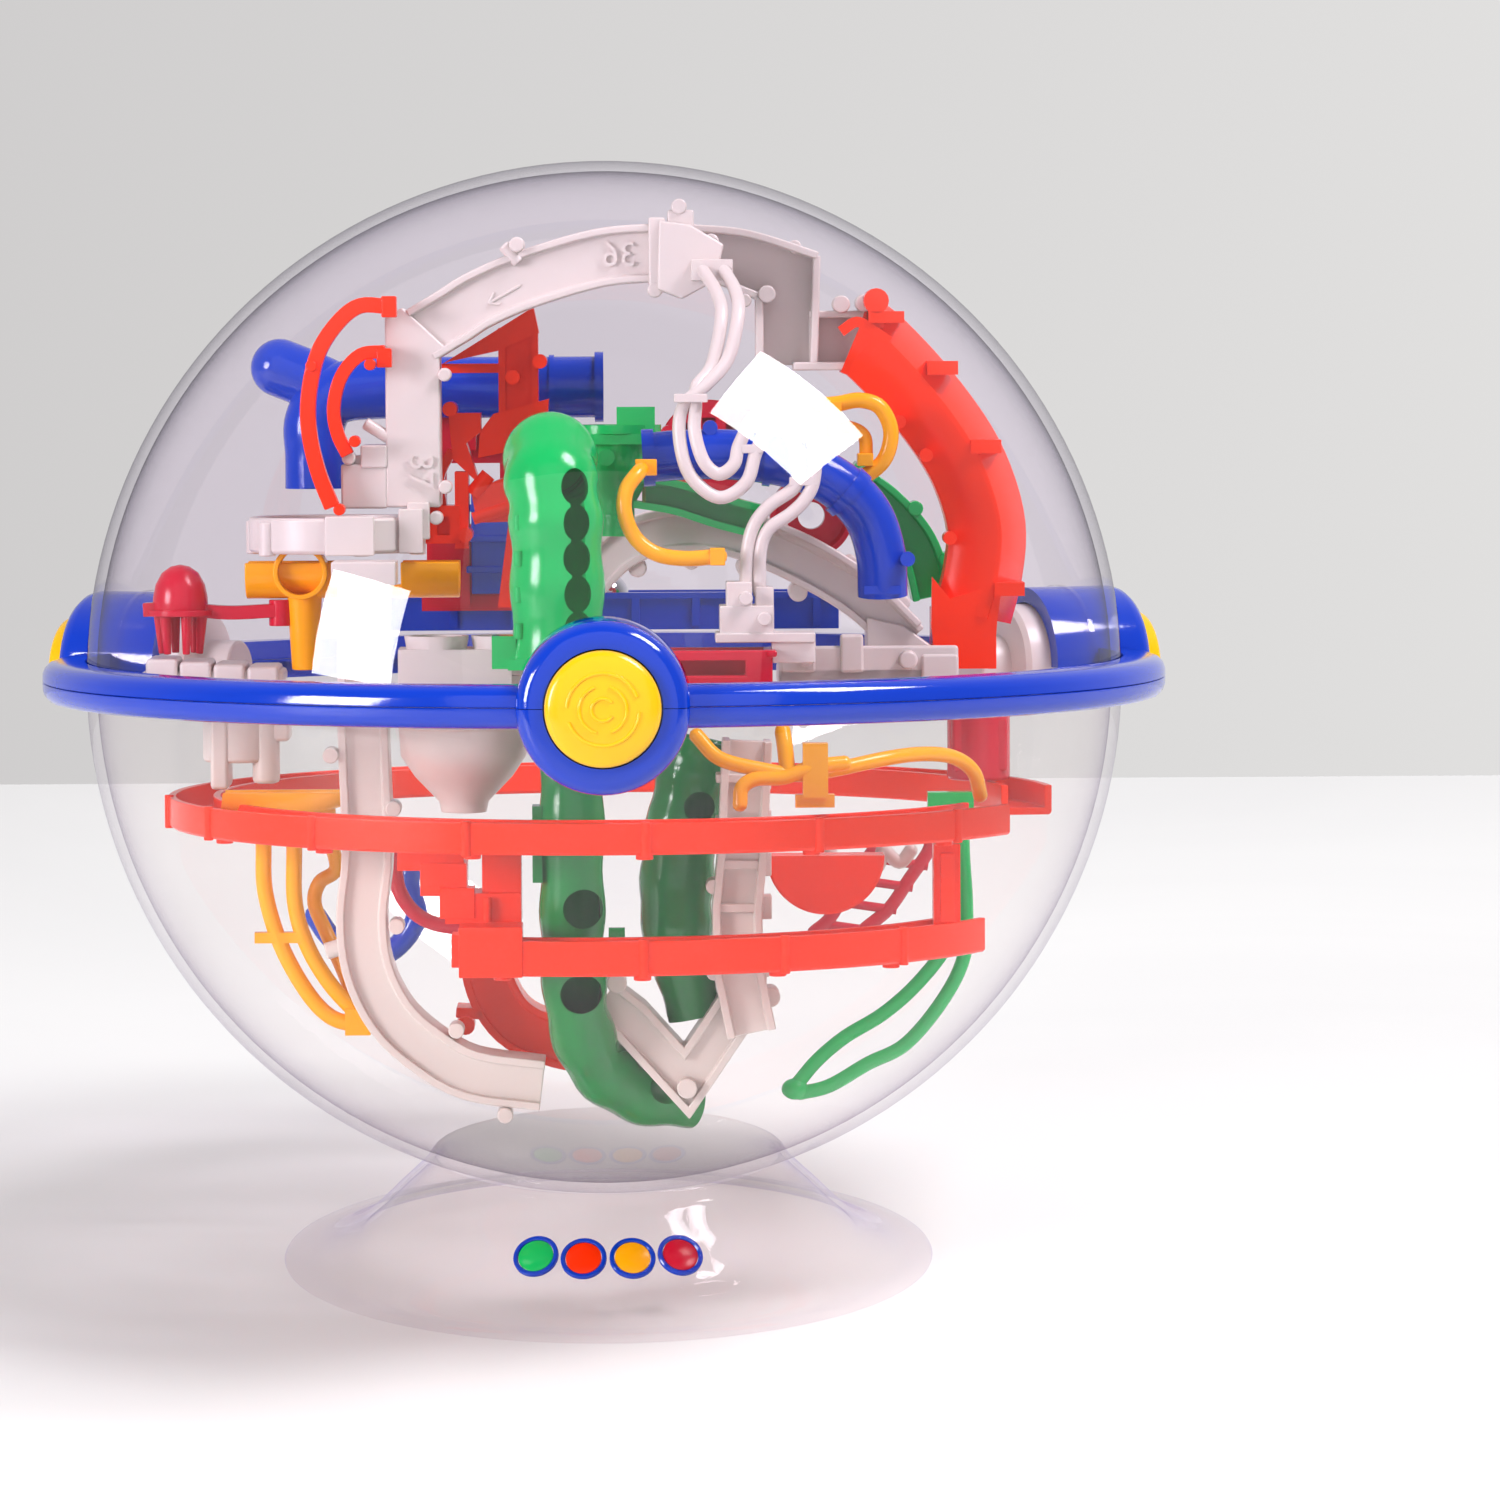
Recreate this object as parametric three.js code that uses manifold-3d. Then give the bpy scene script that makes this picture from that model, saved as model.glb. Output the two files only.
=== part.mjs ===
import * as THREE from 'three';
import { mergeVertices } from 'three/addons/utils/BufferGeometryUtils.js';
import Module from 'manifold-3d';

const wasm = await Module();
wasm.setup();

// ---- Driving dimensions, millimetres ----
const GLOBE_R = 100;            // outside of the clear globe
const WALL = 2;                 // globe wall
const FIT = 0.3;                // gap left between touching mouldings
const RING_OUT = 8.4;           // how far the grip ring stands out from the globe
const RING_H = 7.7;             // grip ring height
const BOSS_R = 15.5;            // round bosses on the grip ring
const BOSS_OUT = 11.5;          // boss face beyond the globe
const BOSS_IN = 10;             // boss housing inside the globe
const BOSS_WALL = 3;            // wall of that housing
const BOSS_ANGLE = 112;         // side bosses, degrees round from the front boss
const BOSS_FLOOR = 1.2;         // floor under the cap of a side boss
const CAP_R = 10.35;            // coloured cap pressed into each boss
const CAP_OUT = 4.2;            // cap edge beyond the boss face
const CAP_DOME = 2.3;           // extra height of the cap at its middle
const CAP_DEPTH = 8;            // depth of the pocket the cap sits in
const HUB_R = 6;                // spigot of each hub
const HUB_IN = 22;              // hub spigot end, inwards from the globe
const HUB_CUP = 15;             // hub cup end, inwards from the globe
const HUB_LIP = 5;              // hub rim, inwards from the globe
const NECK_R = 34;              // rim of the stand that carries the globe
const FLANGE_R = 63.8;          // foot of the stand
const STAND_WALL = 1.2;         // stand sheet thickness
const GLOBE_LIFT = 15.8;        // floor to the lowest point of the globe
const TILT = 7;                 // how far the globe leans back in the stand, degrees
const BALL_D = 9.5;             // steel ball
const AXIS_Y = 4.7;             // stand's axis, behind the middle of the whole object
const RAIL_R = 1.7;             // moulded wire rails
const ROUND_SIDES = 40;         // flats round the globe, shared by what fits on it

// The maze inside is drawn for a 100 mm globe and grows and shrinks with it.
const MAZE_SCALE = GLOBE_R / 100;
const GLOBE_Z = GLOBE_LIFT + GLOBE_R;

// ---- Plastics and steel ----
const plastic = (colour, roughness = 0.35) =>
  new THREE.MeshStandardMaterial({ color: colour, roughness, metalness: 0 });
const WHITE = plastic(0xf0ebe8, 0.45);
const ORANGE = plastic(0xff4a1a);
const GREEN = plastic(0x08a05a);
const CRIMSON = plastic(0xc8203c);
const BLUE = plastic(0x1a3fb0);
const YELLOW = plastic(0xffc010);
const RING_BLUE = plastic(0x0046c0, 0.25);
const CAP_YELLOW = plastic(0xffd800, 0.3);
const STEEL = new THREE.MeshStandardMaterial({ color: 0xc8ccd0, roughness: 0.15, metalness: 1 });
const CLEAR = new THREE.MeshStandardMaterial({
  color: 0xeee8f4, roughness: 0.05, metalness: 0, transparent: true, opacity: 0.3,
});

// ---- Solids: three.js geometry in and out of the boolean library ----
function solid(geometry) {
  const bare = geometry.clone();
  bare.deleteAttribute('normal');
  bare.deleteAttribute('uv');
  const merged = mergeVertices(bare, 1e-4);
  const triVerts = new Uint32Array(merged.index.array);
  const vertProperties = new Float32Array(merged.attributes.position.array);
  const body = new wasm.Manifold(new wasm.Mesh({ numProp: 3, vertProperties, triVerts }));
  if (body.volume() > 0) return body;
  // A profile drawn the other way round gives faces that point in: turn them out.
  return new wasm.Manifold(new wasm.Mesh({
    numProp: 3, vertProperties, triVerts: triVerts.slice().reverse(),
  }));
}

function shape(body) {
  const mesh = body.getMesh();
  const geometry = new THREE.BufferGeometry();
  const points = new Float32Array(mesh.numVert * 3);
  for (let i = 0; i < mesh.numVert; i += 1) {
    for (let j = 0; j < 3; j += 1) points[i * 3 + j] = mesh.vertProperties[i * mesh.numProp + j];
  }
  geometry.setAttribute('position', new THREE.BufferAttribute(points, 3));
  geometry.setIndex(new THREE.BufferAttribute(new Uint32Array(mesh.triVerts), 1));
  geometry.computeVertexNormals();
  return geometry;
}

const join = (...bodies) => bodies.reduce((all, one) => all.add(one));
const radians = THREE.MathUtils.degToRad;

// A box by its two corners.
function box(x0, x1, y0, y1, z0, z1) {
  const geometry = new THREE.BoxGeometry(x1 - x0, y1 - y0, z1 - z0);
  geometry.translate((x0 + x1) / 2, (y0 + y1) / 2, (z0 + z1) / 2);
  return solid(geometry);
}

// A round bar along one axis, from a to b along that axis.
function bar(axis, radius, a, b, at, sides = 12) {
  const geometry = new THREE.CylinderGeometry(radius, radius, b - a, sides);
  geometry.translate(0, (a + b) / 2, 0);
  if (axis === 'x') geometry.rotateZ(-Math.PI / 2);
  if (axis === 'z') geometry.rotateX(Math.PI / 2);
  const [x, y, z] = at;
  geometry.translate(x, y, z);
  return solid(geometry);
}

// A body turned about the vertical axis, from a profile of [radius, height] pairs.
function turned(profile, sides, closed = false) {
  const points = profile.map(([r, z]) => new THREE.Vector2(r, z));
  if (closed) points.push(points[0].clone());
  const geometry = new THREE.LatheGeometry(points, sides);
  geometry.rotateX(Math.PI / 2);
  return solid(geometry);
}

// A smooth or straight-sided line in an upright plane, [across, up] pairs.
function line(points, steps = 0) {
  const flat = points.map(([u, w]) => new THREE.Vector2(u, w));
  return steps ? new THREE.SplineCurve(flat).getPoints(steps) : flat;
}

function beside(path, distance) {
  return path.map((here, i) => {
    const before = path[Math.max(i - 1, 0)];
    const after = path[Math.min(i + 1, path.length - 1)];
    const a = here.clone().sub(before);
    const b = after.clone().sub(here);
    if (i === 0) a.copy(b);
    if (i === path.length - 1) b.copy(a);
    a.normalize();
    b.normalize();
    const mean = a.clone().add(b).normalize();
    const reach = distance / Math.max(mean.dot(a), 0.6);
    return new THREE.Vector2(here.x - mean.y * reach, here.y + mean.x * reach);
  });
}

// A strip along the line: it fills lo..hi beside the line and near..far in depth.
function strip(path, lo, hi, near, far) {
  const outline = [...beside(path, lo), ...beside(path, hi).reverse()];
  const geometry = new THREE.ExtrudeGeometry(new THREE.Shape(outline), {
    depth: far - near, bevelEnabled: false, curveSegments: 1,
  });
  geometry.rotateX(Math.PI / 2);
  geometry.translate(0, far, 0);
  return solid(geometry);
}

// A ball channel along the line, with its open side to the back, front, left or right
// of the direction of travel.
function channel(path, height, depth, wall, open) {
  const h = height / 2;
  const d = depth / 2;
  const body = strip(path, -h, h, -d, d);
  if (open === 'back') return body.subtract(strip(path, wall - h, h - wall, wall - d, d + 1));
  if (open === 'front') return body.subtract(strip(path, wall - h, h - wall, -d - 1, d - wall));
  if (open === 'left') return body.subtract(strip(path, wall - h, h + 1, wall - d, d - wall));
  return body.subtract(strip(path, -h - 1, h - wall, wall - d, d - wall));
}

// Pegs through an upright track, along its depth.
function pegs(places, radius, near, far) {
  return places.map(([u, w]) => bar('y', radius, near, far, [u, 0, w], 8));
}

function curve(points) {
  return new THREE.CatmullRomCurve3(points.map((p) => new THREE.Vector3(...p)));
}

// A round rod, or a hollow tube when bore is given, along a curve through the points.
function tube(points, radius, steps, sides, bore = 0) {
  const section = new THREE.Shape();
  section.absarc(0, 0, radius, 0, Math.PI * 2);
  if (bore) {
    const hole = new THREE.Path();
    hole.absarc(0, 0, bore, 0, Math.PI * 2, true);
    section.holes.push(hole);
  }
  const geometry = new THREE.ExtrudeGeometry(section, {
    extrudePath: curve(points), steps, bevelEnabled: false, curveSegments: sides / 2,
  });
  return solid(geometry);
}

// Part of a flat ring round the globe's axis: radii, heights, and angles in degrees
// counted from the front towards the right.
function sector(inner, outer, low, high, from, to, steps) {
  const start = radians(from - 90);
  const end = radians(to - 90);
  const flat = new THREE.Shape();
  flat.absarc(0, 0, outer, start, end, false);
  flat.absarc(0, 0, inner, end, start, true);
  flat.closePath();
  const geometry = new THREE.ExtrudeGeometry(flat, {
    depth: high - low, bevelEnabled: false, curveSegments: steps / 2,
  });
  geometry.translate(0, 0, low);
  return solid(geometry);
}

function outward(angle) {
  return [Math.sin(radians(angle)), -Math.cos(radians(angle))];
}

// A round bar pointing out through the globe wall at an angle round the ring.
function spoke(angle, radius, from, to, sides) {
  const geometry = new THREE.CylinderGeometry(radius, radius, to - from, sides);
  geometry.rotateY(Math.PI / sides);
  geometry.translate(0, -(from + to) / 2, 0);
  geometry.rotateZ(radians(angle));
  return solid(geometry);
}

// ---- Assembly helpers ----
const object = new THREE.Group();
object.position.y = AXIS_Y;
const globe = new THREE.Group();
const maze = new THREE.Group();
globe.position.z = GLOBE_Z;
globe.rotation.x = radians(-TILT);
maze.scale.setScalar(MAZE_SCALE);
object.add(globe);
globe.add(maze);

function piece(parent, name, body, material, at = [0, 0, 0], turn = 0) {
  const mesh = new THREE.Mesh(shape(body), material);
  mesh.name = name;
  mesh.position.set(...at);
  mesh.rotation.z = radians(turn);
  parent.add(mesh);
}

// ---- Stand: a thin flared sheet with a rolled rim that the globe rests in ----
const NECK_Z = GLOBE_Z - Math.sqrt(GLOBE_R ** 2 - NECK_R ** 2);

function stand() {
  const t = STAND_WALL;
  const top = NECK_Z - FIT;
  const rise = top - t;
  const run = FLANGE_R - NECK_R;
  const outside = [
    [FLANGE_R, 0],
    [FLANGE_R, t],
    [FLANGE_R - run * 0.22, t + rise * 0.05],
    [NECK_R + run * 0.52, t + rise * 0.3],
    [NECK_R + run * 0.22, t + rise * 0.66],
    [NECK_R + t, top - t],
    [NECK_R, top],
  ];
  const inside = [
    [NECK_R - t, top - t * 1.6],
    [NECK_R + run * 0.22 - t, t + rise * 0.6 - t],
    [NECK_R + run * 0.52 - t, t + rise * 0.26 - t],
    [FLANGE_R - run * 0.22 - t, 0],
  ];
  return turned([...outside, ...inside].reverse(), ROUND_SIDES, true);
}

piece(object, 'stand', stand(), CLEAR);

// ---- Globe: two clear hemispheres that meet inside the grip ring ----
// Each boss: name, angle round the ring, and how far below the ring's middle it reaches. The
// front boss is round. The side ones stop level with the underside of the ring.
const BOSSES = [
  ['front', 0, -BOSS_R],
  ['right', BOSS_ANGLE, -RING_H / 2],
  ['left', -BOSS_ANGLE, -RING_H / 2],
];

function above(level) {
  return box(-200, 200, -200, 200, level, 200);
}

function hemisphere(sign) {
  const rings = 7;
  const inner = GLOBE_R - WALL;
  const profile = [];
  for (let i = 0; i <= rings; i += 1) {
    const a = (Math.PI / 2) * (i / rings);
    profile.push([i === rings ? 0 : GLOBE_R * Math.cos(a), GLOBE_R * Math.sin(a)]);
  }
  for (let i = rings; i >= 0; i -= 1) {
    const a = (Math.PI / 2) * (i / rings);
    profile.push([i === rings ? 0 : inner * Math.cos(a), inner * Math.sin(a)]);
  }
  profile.push(profile[0]);
  const shell = turned(profile.map(([r, z]) => [r, z * sign]), ROUND_SIDES);
  const rim = box(-GLOBE_R * 2, GLOBE_R * 2, -GLOBE_R * 2, GLOBE_R * 2, -FIT / 2, FIT / 2);
  const openings = BOSSES.filter(([, , low]) => sign > 0 || low === -BOSS_R).map(([, angle]) =>
    spoke(angle, BOSS_R + FIT, GLOBE_R * 0.5, GLOBE_R * 1.2, 20));
  return openings.reduce((body, hole) => body.subtract(hole), shell.subtract(rim));
}

piece(globe, 'upper_shell', hemisphere(1), CLEAR);
piece(globe, 'lower_shell', hemisphere(-1), CLEAR);

// ---- Grip ring in two halves, each with half of the three bosses ----
function ringHalf(sign) {
  const inner = GLOBE_R + FIT;
  const outer = GLOBE_R + RING_OUT;
  const h = RING_H / 2;
  const profile = [
    [inner, FIT / 2],
    [outer, FIT / 2],
    [outer, h * 0.6],
    [outer - 2, h],
    [inner, h],
  ].map(([r, z]) => [r, z * sign]);
  let body = turned(profile, ROUND_SIDES, true);
  const half = sign > 0
    ? box(-200, 200, -200, 200, FIT / 2, 60)
    : box(-200, 200, -200, 200, -60, -FIT / 2);
  for (const [, angle, low] of BOSSES) {
    const start = sign < 0 && low > -BOSS_R ? GLOBE_R + FIT : GLOBE_R - BOSS_IN;
    const boss = spoke(angle, BOSS_R, start, GLOBE_R + BOSS_OUT - 1, 20);
    const face = spoke(angle, BOSS_R - 1, GLOBE_R + 1, GLOBE_R + BOSS_OUT, 20);
    body = body.add(join(boss, face).intersect(half).intersect(above(low)));
  }
  for (const [, angle, low] of BOSSES) {
    const pocket = spoke(angle, CAP_R + FIT, GLOBE_R + BOSS_OUT - CAP_DEPTH, GLOBE_R * 1.3, 20);
    const well = spoke(angle, BOSS_R - BOSS_WALL, GLOBE_R - BOSS_IN - 1, GLOBE_R - WALL, 16);
    body = body.subtract(pocket.intersect(above(low + BOSS_FLOOR))).subtract(well);
  }
  return body;
}

piece(globe, 'grip_ring_upper', ringHalf(1), RING_BLUE);
piece(globe, 'grip_ring_lower', ringHalf(-1), RING_BLUE);

// ---- Domed caps pressed into the bosses, and the hubs inside that carry the maze ----
function cap() {
  const r = CAP_R;
  const low = FIT - CAP_DEPTH;
  return turned([
    [0, low], [r, low], [r, CAP_OUT - 1.2], [r - 0.9, CAP_OUT - 0.2],
    [r * 0.7, CAP_OUT + CAP_DOME * 0.5], [r * 0.35, CAP_OUT + CAP_DOME * 0.88],
    [0, CAP_OUT + CAP_DOME],
  ], 20);
}

for (const [where, angle, low] of BOSSES) {
  const [x, y] = outward(angle);
  // In the cap's own frame +Y is the globe's +Z.
  const keep = box(-50, 50, low + BOSS_FLOOR + FIT, 50, -50, 50);
  const mesh = new THREE.Mesh(shape(cap().intersect(keep)), CAP_YELLOW);
  const reach = GLOBE_R + BOSS_OUT;
  mesh.name = `cap_${where}`;
  mesh.position.set(x * reach, y * reach, 0);
  mesh.rotation.order = 'ZXY';
  mesh.rotation.set(Math.PI / 2, 0, radians(angle));
  globe.add(mesh);
  const hub = join(
    spoke(angle, BOSS_R - BOSS_WALL - FIT, GLOBE_R - HUB_CUP, GLOBE_R - HUB_LIP, 16),
    spoke(angle, HUB_R, GLOBE_R - HUB_IN, GLOBE_R - HUB_CUP + 1, 10),
  );
  const cup = spoke(angle, BOSS_R - 2 * BOSS_WALL, GLOBE_R - HUB_CUP + 3, GLOBE_R, 12);
  piece(globe, `hub_${where}`, hub.subtract(cup).intersect(above(low)), WHITE);
}

// ---- Steel ball, resting in the long blue channel at the back ----
const BALL_R = BALL_D / 2;
const LANE_CLEAR = 0.7;         // each side of the ball in its lane
const LANE = { y: 36, floor: 9.3, length: 40, half: BALL_R + LANE_CLEAR, wall: 1.6 };
piece(maze, 'steel_ball', solid(new THREE.SphereGeometry(BALL_R, 12, 8)), STEEL,
  [0, LANE.y, LANE.floor + BALL_R + 0.1]);

// ---- Maze, upper half ----
const T = 1.6;                  // wall of the maze mouldings
const W = 12.6;                 // width of a ball channel, clears the ball on both sides

function whiteArch() {
  const path = line([[-34, 36], [-36, 52], [-38, 66], [-26, 76], [-9, 80.5], [12, 81]]);
  const track = channel(line([...path.map((p) => [p.x, p.y])]), 10, W, T, 'back');
  const tower = box(7, 16, -6.3, 7.5, 66, 87);
  const foot = box(-49, -37, -5, 5, 31.4, 42);
  const knobs = pegs([[-43, 69], [-12, 84.5], [-40.5, 56], [-40, 40], [9, 87.6]], 1.7, -5, 2);
  return join(track, tower, foot, ...knobs);
}

function whiteArm() {
  const path = line([[12, 80], [28, 78.5], [39, 74.5], [39, 63], [41.5, 61.5]]);
  const track = channel(path, 8, 11, T, 'back');
  return join(track, ...pegs([[22, 79], [40, 68]], 1.7, -7.4, 2));
}

function rails(points, gap, steps) {
  const path = curve(points).getPoints(steps);
  const side = [-gap / 2, gap / 2].map((shift) => path.map((p, i) => {
    const a = path[Math.max(i - 1, 0)];
    const b = path[Math.min(i + 1, steps)];
    const along = b.clone().sub(a).normalize();
    const across = along.cross(new THREE.Vector3(0, 1, 0)).normalize();
    return [p.x + across.x * shift, p.y, p.z + across.z * shift];
  }));
  return side.map((rail) => tube(rail, RAIL_R, steps, 6));
}

function whiteRails() {
  const first = rails([
    [21, -40, 76], [26, -50, 66], [19, -55, 54], [17, -57, 42], [21, -57, 35], [27, -57, 40],
    [28, -57, 46],
  ], 5, 14);
  const second = rails([[28, -57, 46], [36, -58, 42], [31, -58, 33], [26, -57, 24], [26, -57, 19.6]], 5, 9);
  const ties = [[21, -40, 76], [17, -57, 43], [28, -57, 46], [26, -57, 20.5]].map(([x, y, z]) =>
    box(x - 4.2, x + 4.2, y - 1.5, y + 1.5, z - 1.6, z + 1.6));
  return join(...first, ...second, ...ties);
}

function orangeArc() {
  const path = line([[46, 67], [57, 60], [65, 47], [72, 32], [76.5, 18], [75, 10], [68, 2]], 10);
  const track = channel(path, 9.4, 14, T, 'front');
  const knobs = pegs([[48, 70.6], [61, 61.5], [70, 47], [77, 30]], 1.8, -9, 9);
  return join(track, ...knobs);
}

function orangeHoops() {
  const outer = tube([[-40, 0, 70], [-50, 0, 64], [-56.5, 0, 53], [-55, 0, 40], [-50, 0, 33]], 2.1, 10, 6);
  const inner = tube([[-40, 0, 62], [-47, 0, 57], [-50, 0, 50], [-50, 0, 42], [-50, 0, 33]], 1.8, 8, 6);
  return join(outer, inner, box(-42, -38, -2, 2, 60, 72), box(-53, -47, -2, 2, 31.6, 35));
}

function blueTubeBack() {
  const run = tube([[-2, 12, 57], [-20, 12, 57], [-40, 12, 57], [-52, 12, 56], [-58, 12, 50],
    [-58, 12, 40], [-58, 12, 33]], 6.2, 12, 8, 4.9);
  const collar = bar('x', 7.4, -9, -2, [0, 12, 57], 14).subtract(bar('x', 4.9, -12, 1, [0, 12, 57], 14));
  const bulb = solid(new THREE.SphereGeometry(7.6, 10, 7).translate(-58, 12, 57));
  const hollow = tube([[-2, 12, 57], [-20, 12, 57], [-40, 12, 57], [-52, 12, 56], [-58, 12, 50],
    [-58, 12, 40], [-58, 12, 33]], 4.9, 12, 8);
  return join(run, collar, bulb.subtract(hollow));
}

function whitePlatform() {
  const disc = bar('z', 16.5, 25, 31, [0, 0, 0], 20);
  const dish = bar('z', 14.4, 27, 32, [0, 0, 0], 20);
  const lugs = [[-16.5, 0], [16.5, 0], [0, -16.5]].map(([x, y]) => bar('z', 2.4, 24.6, 30, [x, y, 0], 8));
  return join(disc.subtract(dish), ...lugs);
}

function yellowTee() {
  const pipe = bar('x', 6.5, -67, -28, [0, 0, 22], 16);
  const bore = bar('x', 5, -68, -27, [0, 0, 22], 16);
  const upper = box(-70, -25, -8, 8, 22.5, 30);
  const stem = bar('z', 3.4, 3, 17, [-56, 0, 0], 12);
  return join(pipe.subtract(bore).subtract(upper), stem.subtract(bore));
}

function crimsonCage() {
  const cup = turned([[0, 0], [5.4, 0], [5, 2.6], [3, 4.8], [0, 5.6]], 12);
  const arms = [0, 60, 120, 180, 240, 300].map((a) => {
    const [x, y] = outward(a);
    return bar('z', 0.9, -9, 1, [x * 4.3, y * 4.3, 0], 6);
  });
  const reach = box(3, 20, -1.5, 1.5, -3.5, -0.5);
  const post = box(3, 6, -1.5, 1.5, -3.5, 1.5);
  return join(cup, ...arms, reach, post);
}

function whiteRack() {
  const base = box(-88, -62, -25, -8, 0, 3.4);
  const teeth = [-84, -77, -70].map((x) => bar('y', 3.2, -25, -8, [x, 0, 2.6], 10));
  const drum = bar('z', 7, -15, 1, [-70, -17, 0], 14).subtract(bar('z', 5.2, -16, -2, [-70, -17, 0], 14));
  return join(base, ...teeth, drum);
}

function orangeStair() {
  const path = line([[-28, 64], [-13, 64], [-13, 52], [-26, 52], [-26, 40], [-13, 40], [-13, 28],
    [-27, 28], [-27, 13]]);
  return join(channel(path, 6, 12, 1.3, 'front'), ...pegs([[-10, 64], [-10, 52], [-29, 40]], 1.6, -8, 4));
}

function crimsonFrame() {
  let plate = box(-35, -17, -2, 2, 12, 61);
  for (let i = 0; i < 4; i += 1) {
    plate = plate.subtract(box(-31.5, -20.5, -3, 3, 15 + i * 11.5, 23 + i * 11.5));
  }
  return plate;
}

function greenColumn() {
  const route = [[0, 0, 5], [0, 0, 20], [0, 0, 34], [0, 3, 42], [0, 10, 46], [0, 16, 45]];
  let body = tube(route, 8.2, 9, 10, 6.8);
  for (let i = 0; i < 5; i += 1) {
    const notch = solid(new THREE.SphereGeometry(2.6, 6, 4).translate(7.2, -3.8, 12 + i * 6.4));
    body = body.subtract(notch);
  }
  const collar = box(-11, -7.4, -4, 4, 5, 11);
  return join(body, collar);
}

function greenFunnel() {
  const cup = turned([[3.4, -6], [3.4, 0], [8.2, 11], [8.2, 16], [6.8, 16], [6.8, 11.4], [2.2, 0], [2.2, -6]], 14, true);
  const trough = strip(line([[3, 3.5], [26, -2]]), -4, 2.5, -5, 5)
    .subtract(strip(line([[2, 3.7], [27, -2.2]]), -2.4, 4, -3.6, 3.6));
  return join(cup, trough.subtract(bar('z', 3.6, -8, 20, [0, 0, 0], 10)));
}

function blueTubeFront() {
  const route = [[8, -44, 43], [20, -44, 44.5], [33, -44, 44], [43, -43, 39], [49.5, -42, 29], [52, -41, 16]];
  const run = tube(route, 6.2, 11, 10, 4.9);
  const lip = bar('x', 7, 7, 10, [0, -44, 43.1], 14).subtract(bar('x', 4.9, 6, 11, [0, -44, 43.1], 14));
  return join(run, lip);
}

function yellowLoop() {
  const wire = tube([[9, -64, 41], [4, -65, 36], [4, -65, 30], [9, -64, 26], [18, -64, 25]], 1.7, 11, 6);
  return join(wire, box(7.5, 10.5, -65.7, -53, 40, 43));
}

function yellowLoopRight() {
  return tube([[44, -29, 55], [51, -29, 54], [54, -29, 47], [50, -29, 40], [44, -29, 40]], 1.5, 9, 6);
}

function crimsonDiscs() {
  const disc = bar('y', 9.5, -4, 4, [20.5, 0, 43], 18).subtract(box(5, 36, -6, 6, 30, 43.5));
  const small = bar('y', 8, -4, 4, [40, 0, 30], 16).subtract(bar('y', 5.6, -5, 1, [40, 0, 30], 16));
  const link = strip(line([[28, 47], [40, 36]]), -1.5, 1.5, -2, 2);
  return join(disc, small, link);
}

function whiteRamp() {
  const path = line([[-2, 20], [6, 27], [18, 31], [32, 28], [48, 19], [61, 9]], 9);
  return join(channel(path, 7.4, 11, 1.4, 'back'), ...pegs([[6, 27], [32, 28], [48, 19]], 1.7, -7.4, 0));
}

function crimsonTrack() {
  return box(9, 31, -66, -52, 1, 8).subtract(box(8, 32, -64.4, -53.6, 2.6, 9));
}

function whiteTower() {
  const head = box(20, 32, -63, -51, 9.2, 15).subtract(box(22, 30, -61, -53, 10.8, 16));
  const jaw = box(20, 24, -63, -51, 14, 17.6);
  return join(head, jaw);
}

function blueLane() {
  const y = LANE.y;
  const l = LANE.length + BALL_R;
  const t = LANE.wall;
  const w = LANE.half;
  const body = box(-l - t, l + t, y - w - t, y + w + t, LANE.floor - t, LANE.floor + BALL_R + 1);
  return body.subtract(box(-l, l, y - w, y + w, LANE.floor, LANE.floor + BALL_D));
}

function greenWing() {
  return strip(line([[54, 33], [60, 26], [64, 16]]), -4, 4, 10, 22)
    .subtract(strip(line([[53, 34], [60, 26], [65, 15]]), -2.6, 5, 11.4, 20.6));
}

function whiteDeck() {
  const deck = box(33, 67, -30, -8, -1, 3);
  const wall = box(33, 67, -30, -28, -1, 7);
  return join(deck, wall, box(34, 40, -30, -22, 2, 8), box(50, 55, -29, -20, -7, 0));
}

function whiteTray() {
  return box(-38, -17, -57, -44, 0.5, 8).subtract(box(-36.4, -18.6, -55.4, -45.6, 2, 9));
}

piece(maze, 'white_arch_track', whiteArch(), WHITE, [0, -22, 0]);
piece(maze, 'white_arm_track', whiteArm(), WHITE, [0, -6, 0]);
piece(maze, 'white_wire_rails', whiteRails(), WHITE);
piece(maze, 'orange_arc_track', orangeArc(), ORANGE, [0, -12, 0]);
piece(maze, 'orange_hoop_rails', orangeHoops(), ORANGE, [0, -34, 0]);
piece(maze, 'blue_tube_back', blueTubeBack(), BLUE);
piece(maze, 'white_platform', whitePlatform(), WHITE, [-51, -20, 0]);
piece(maze, 'yellow_half_pipe', yellowTee(), YELLOW, [0, -20, 0]);
piece(maze, 'crimson_cage', crimsonCage(), CRIMSON, [-80, -20, 15.5]);
piece(maze, 'white_rack', whiteRack(), WHITE);
piece(maze, 'orange_stair_track', orangeStair(), ORANGE, [0, -5, 0]);
piece(maze, 'crimson_frame', crimsonFrame(), CRIMSON, [0, 23, 0]);
piece(maze, 'green_column', greenColumn(), GREEN, [-9, -65, 0]);
piece(maze, 'green_funnel', greenFunnel(), GREEN, [3, -28, 34]);
piece(maze, 'blue_tube_front', blueTubeFront(), BLUE);
piece(maze, 'yellow_wire_loop', yellowLoop(), YELLOW);
piece(maze, 'yellow_side_loop', yellowLoopRight(), YELLOW);
piece(maze, 'crimson_discs', crimsonDiscs(), CRIMSON, [0, 0, 0]);
piece(maze, 'white_ramp', whiteRamp(), WHITE, [0, -14, 0]);
piece(maze, 'crimson_trough', crimsonTrack(), CRIMSON);
piece(maze, 'white_clamp', whiteTower(), WHITE);
piece(maze, 'blue_ball_lane', blueLane(), BLUE);
piece(maze, 'green_wing', greenWing(), GREEN);
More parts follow.
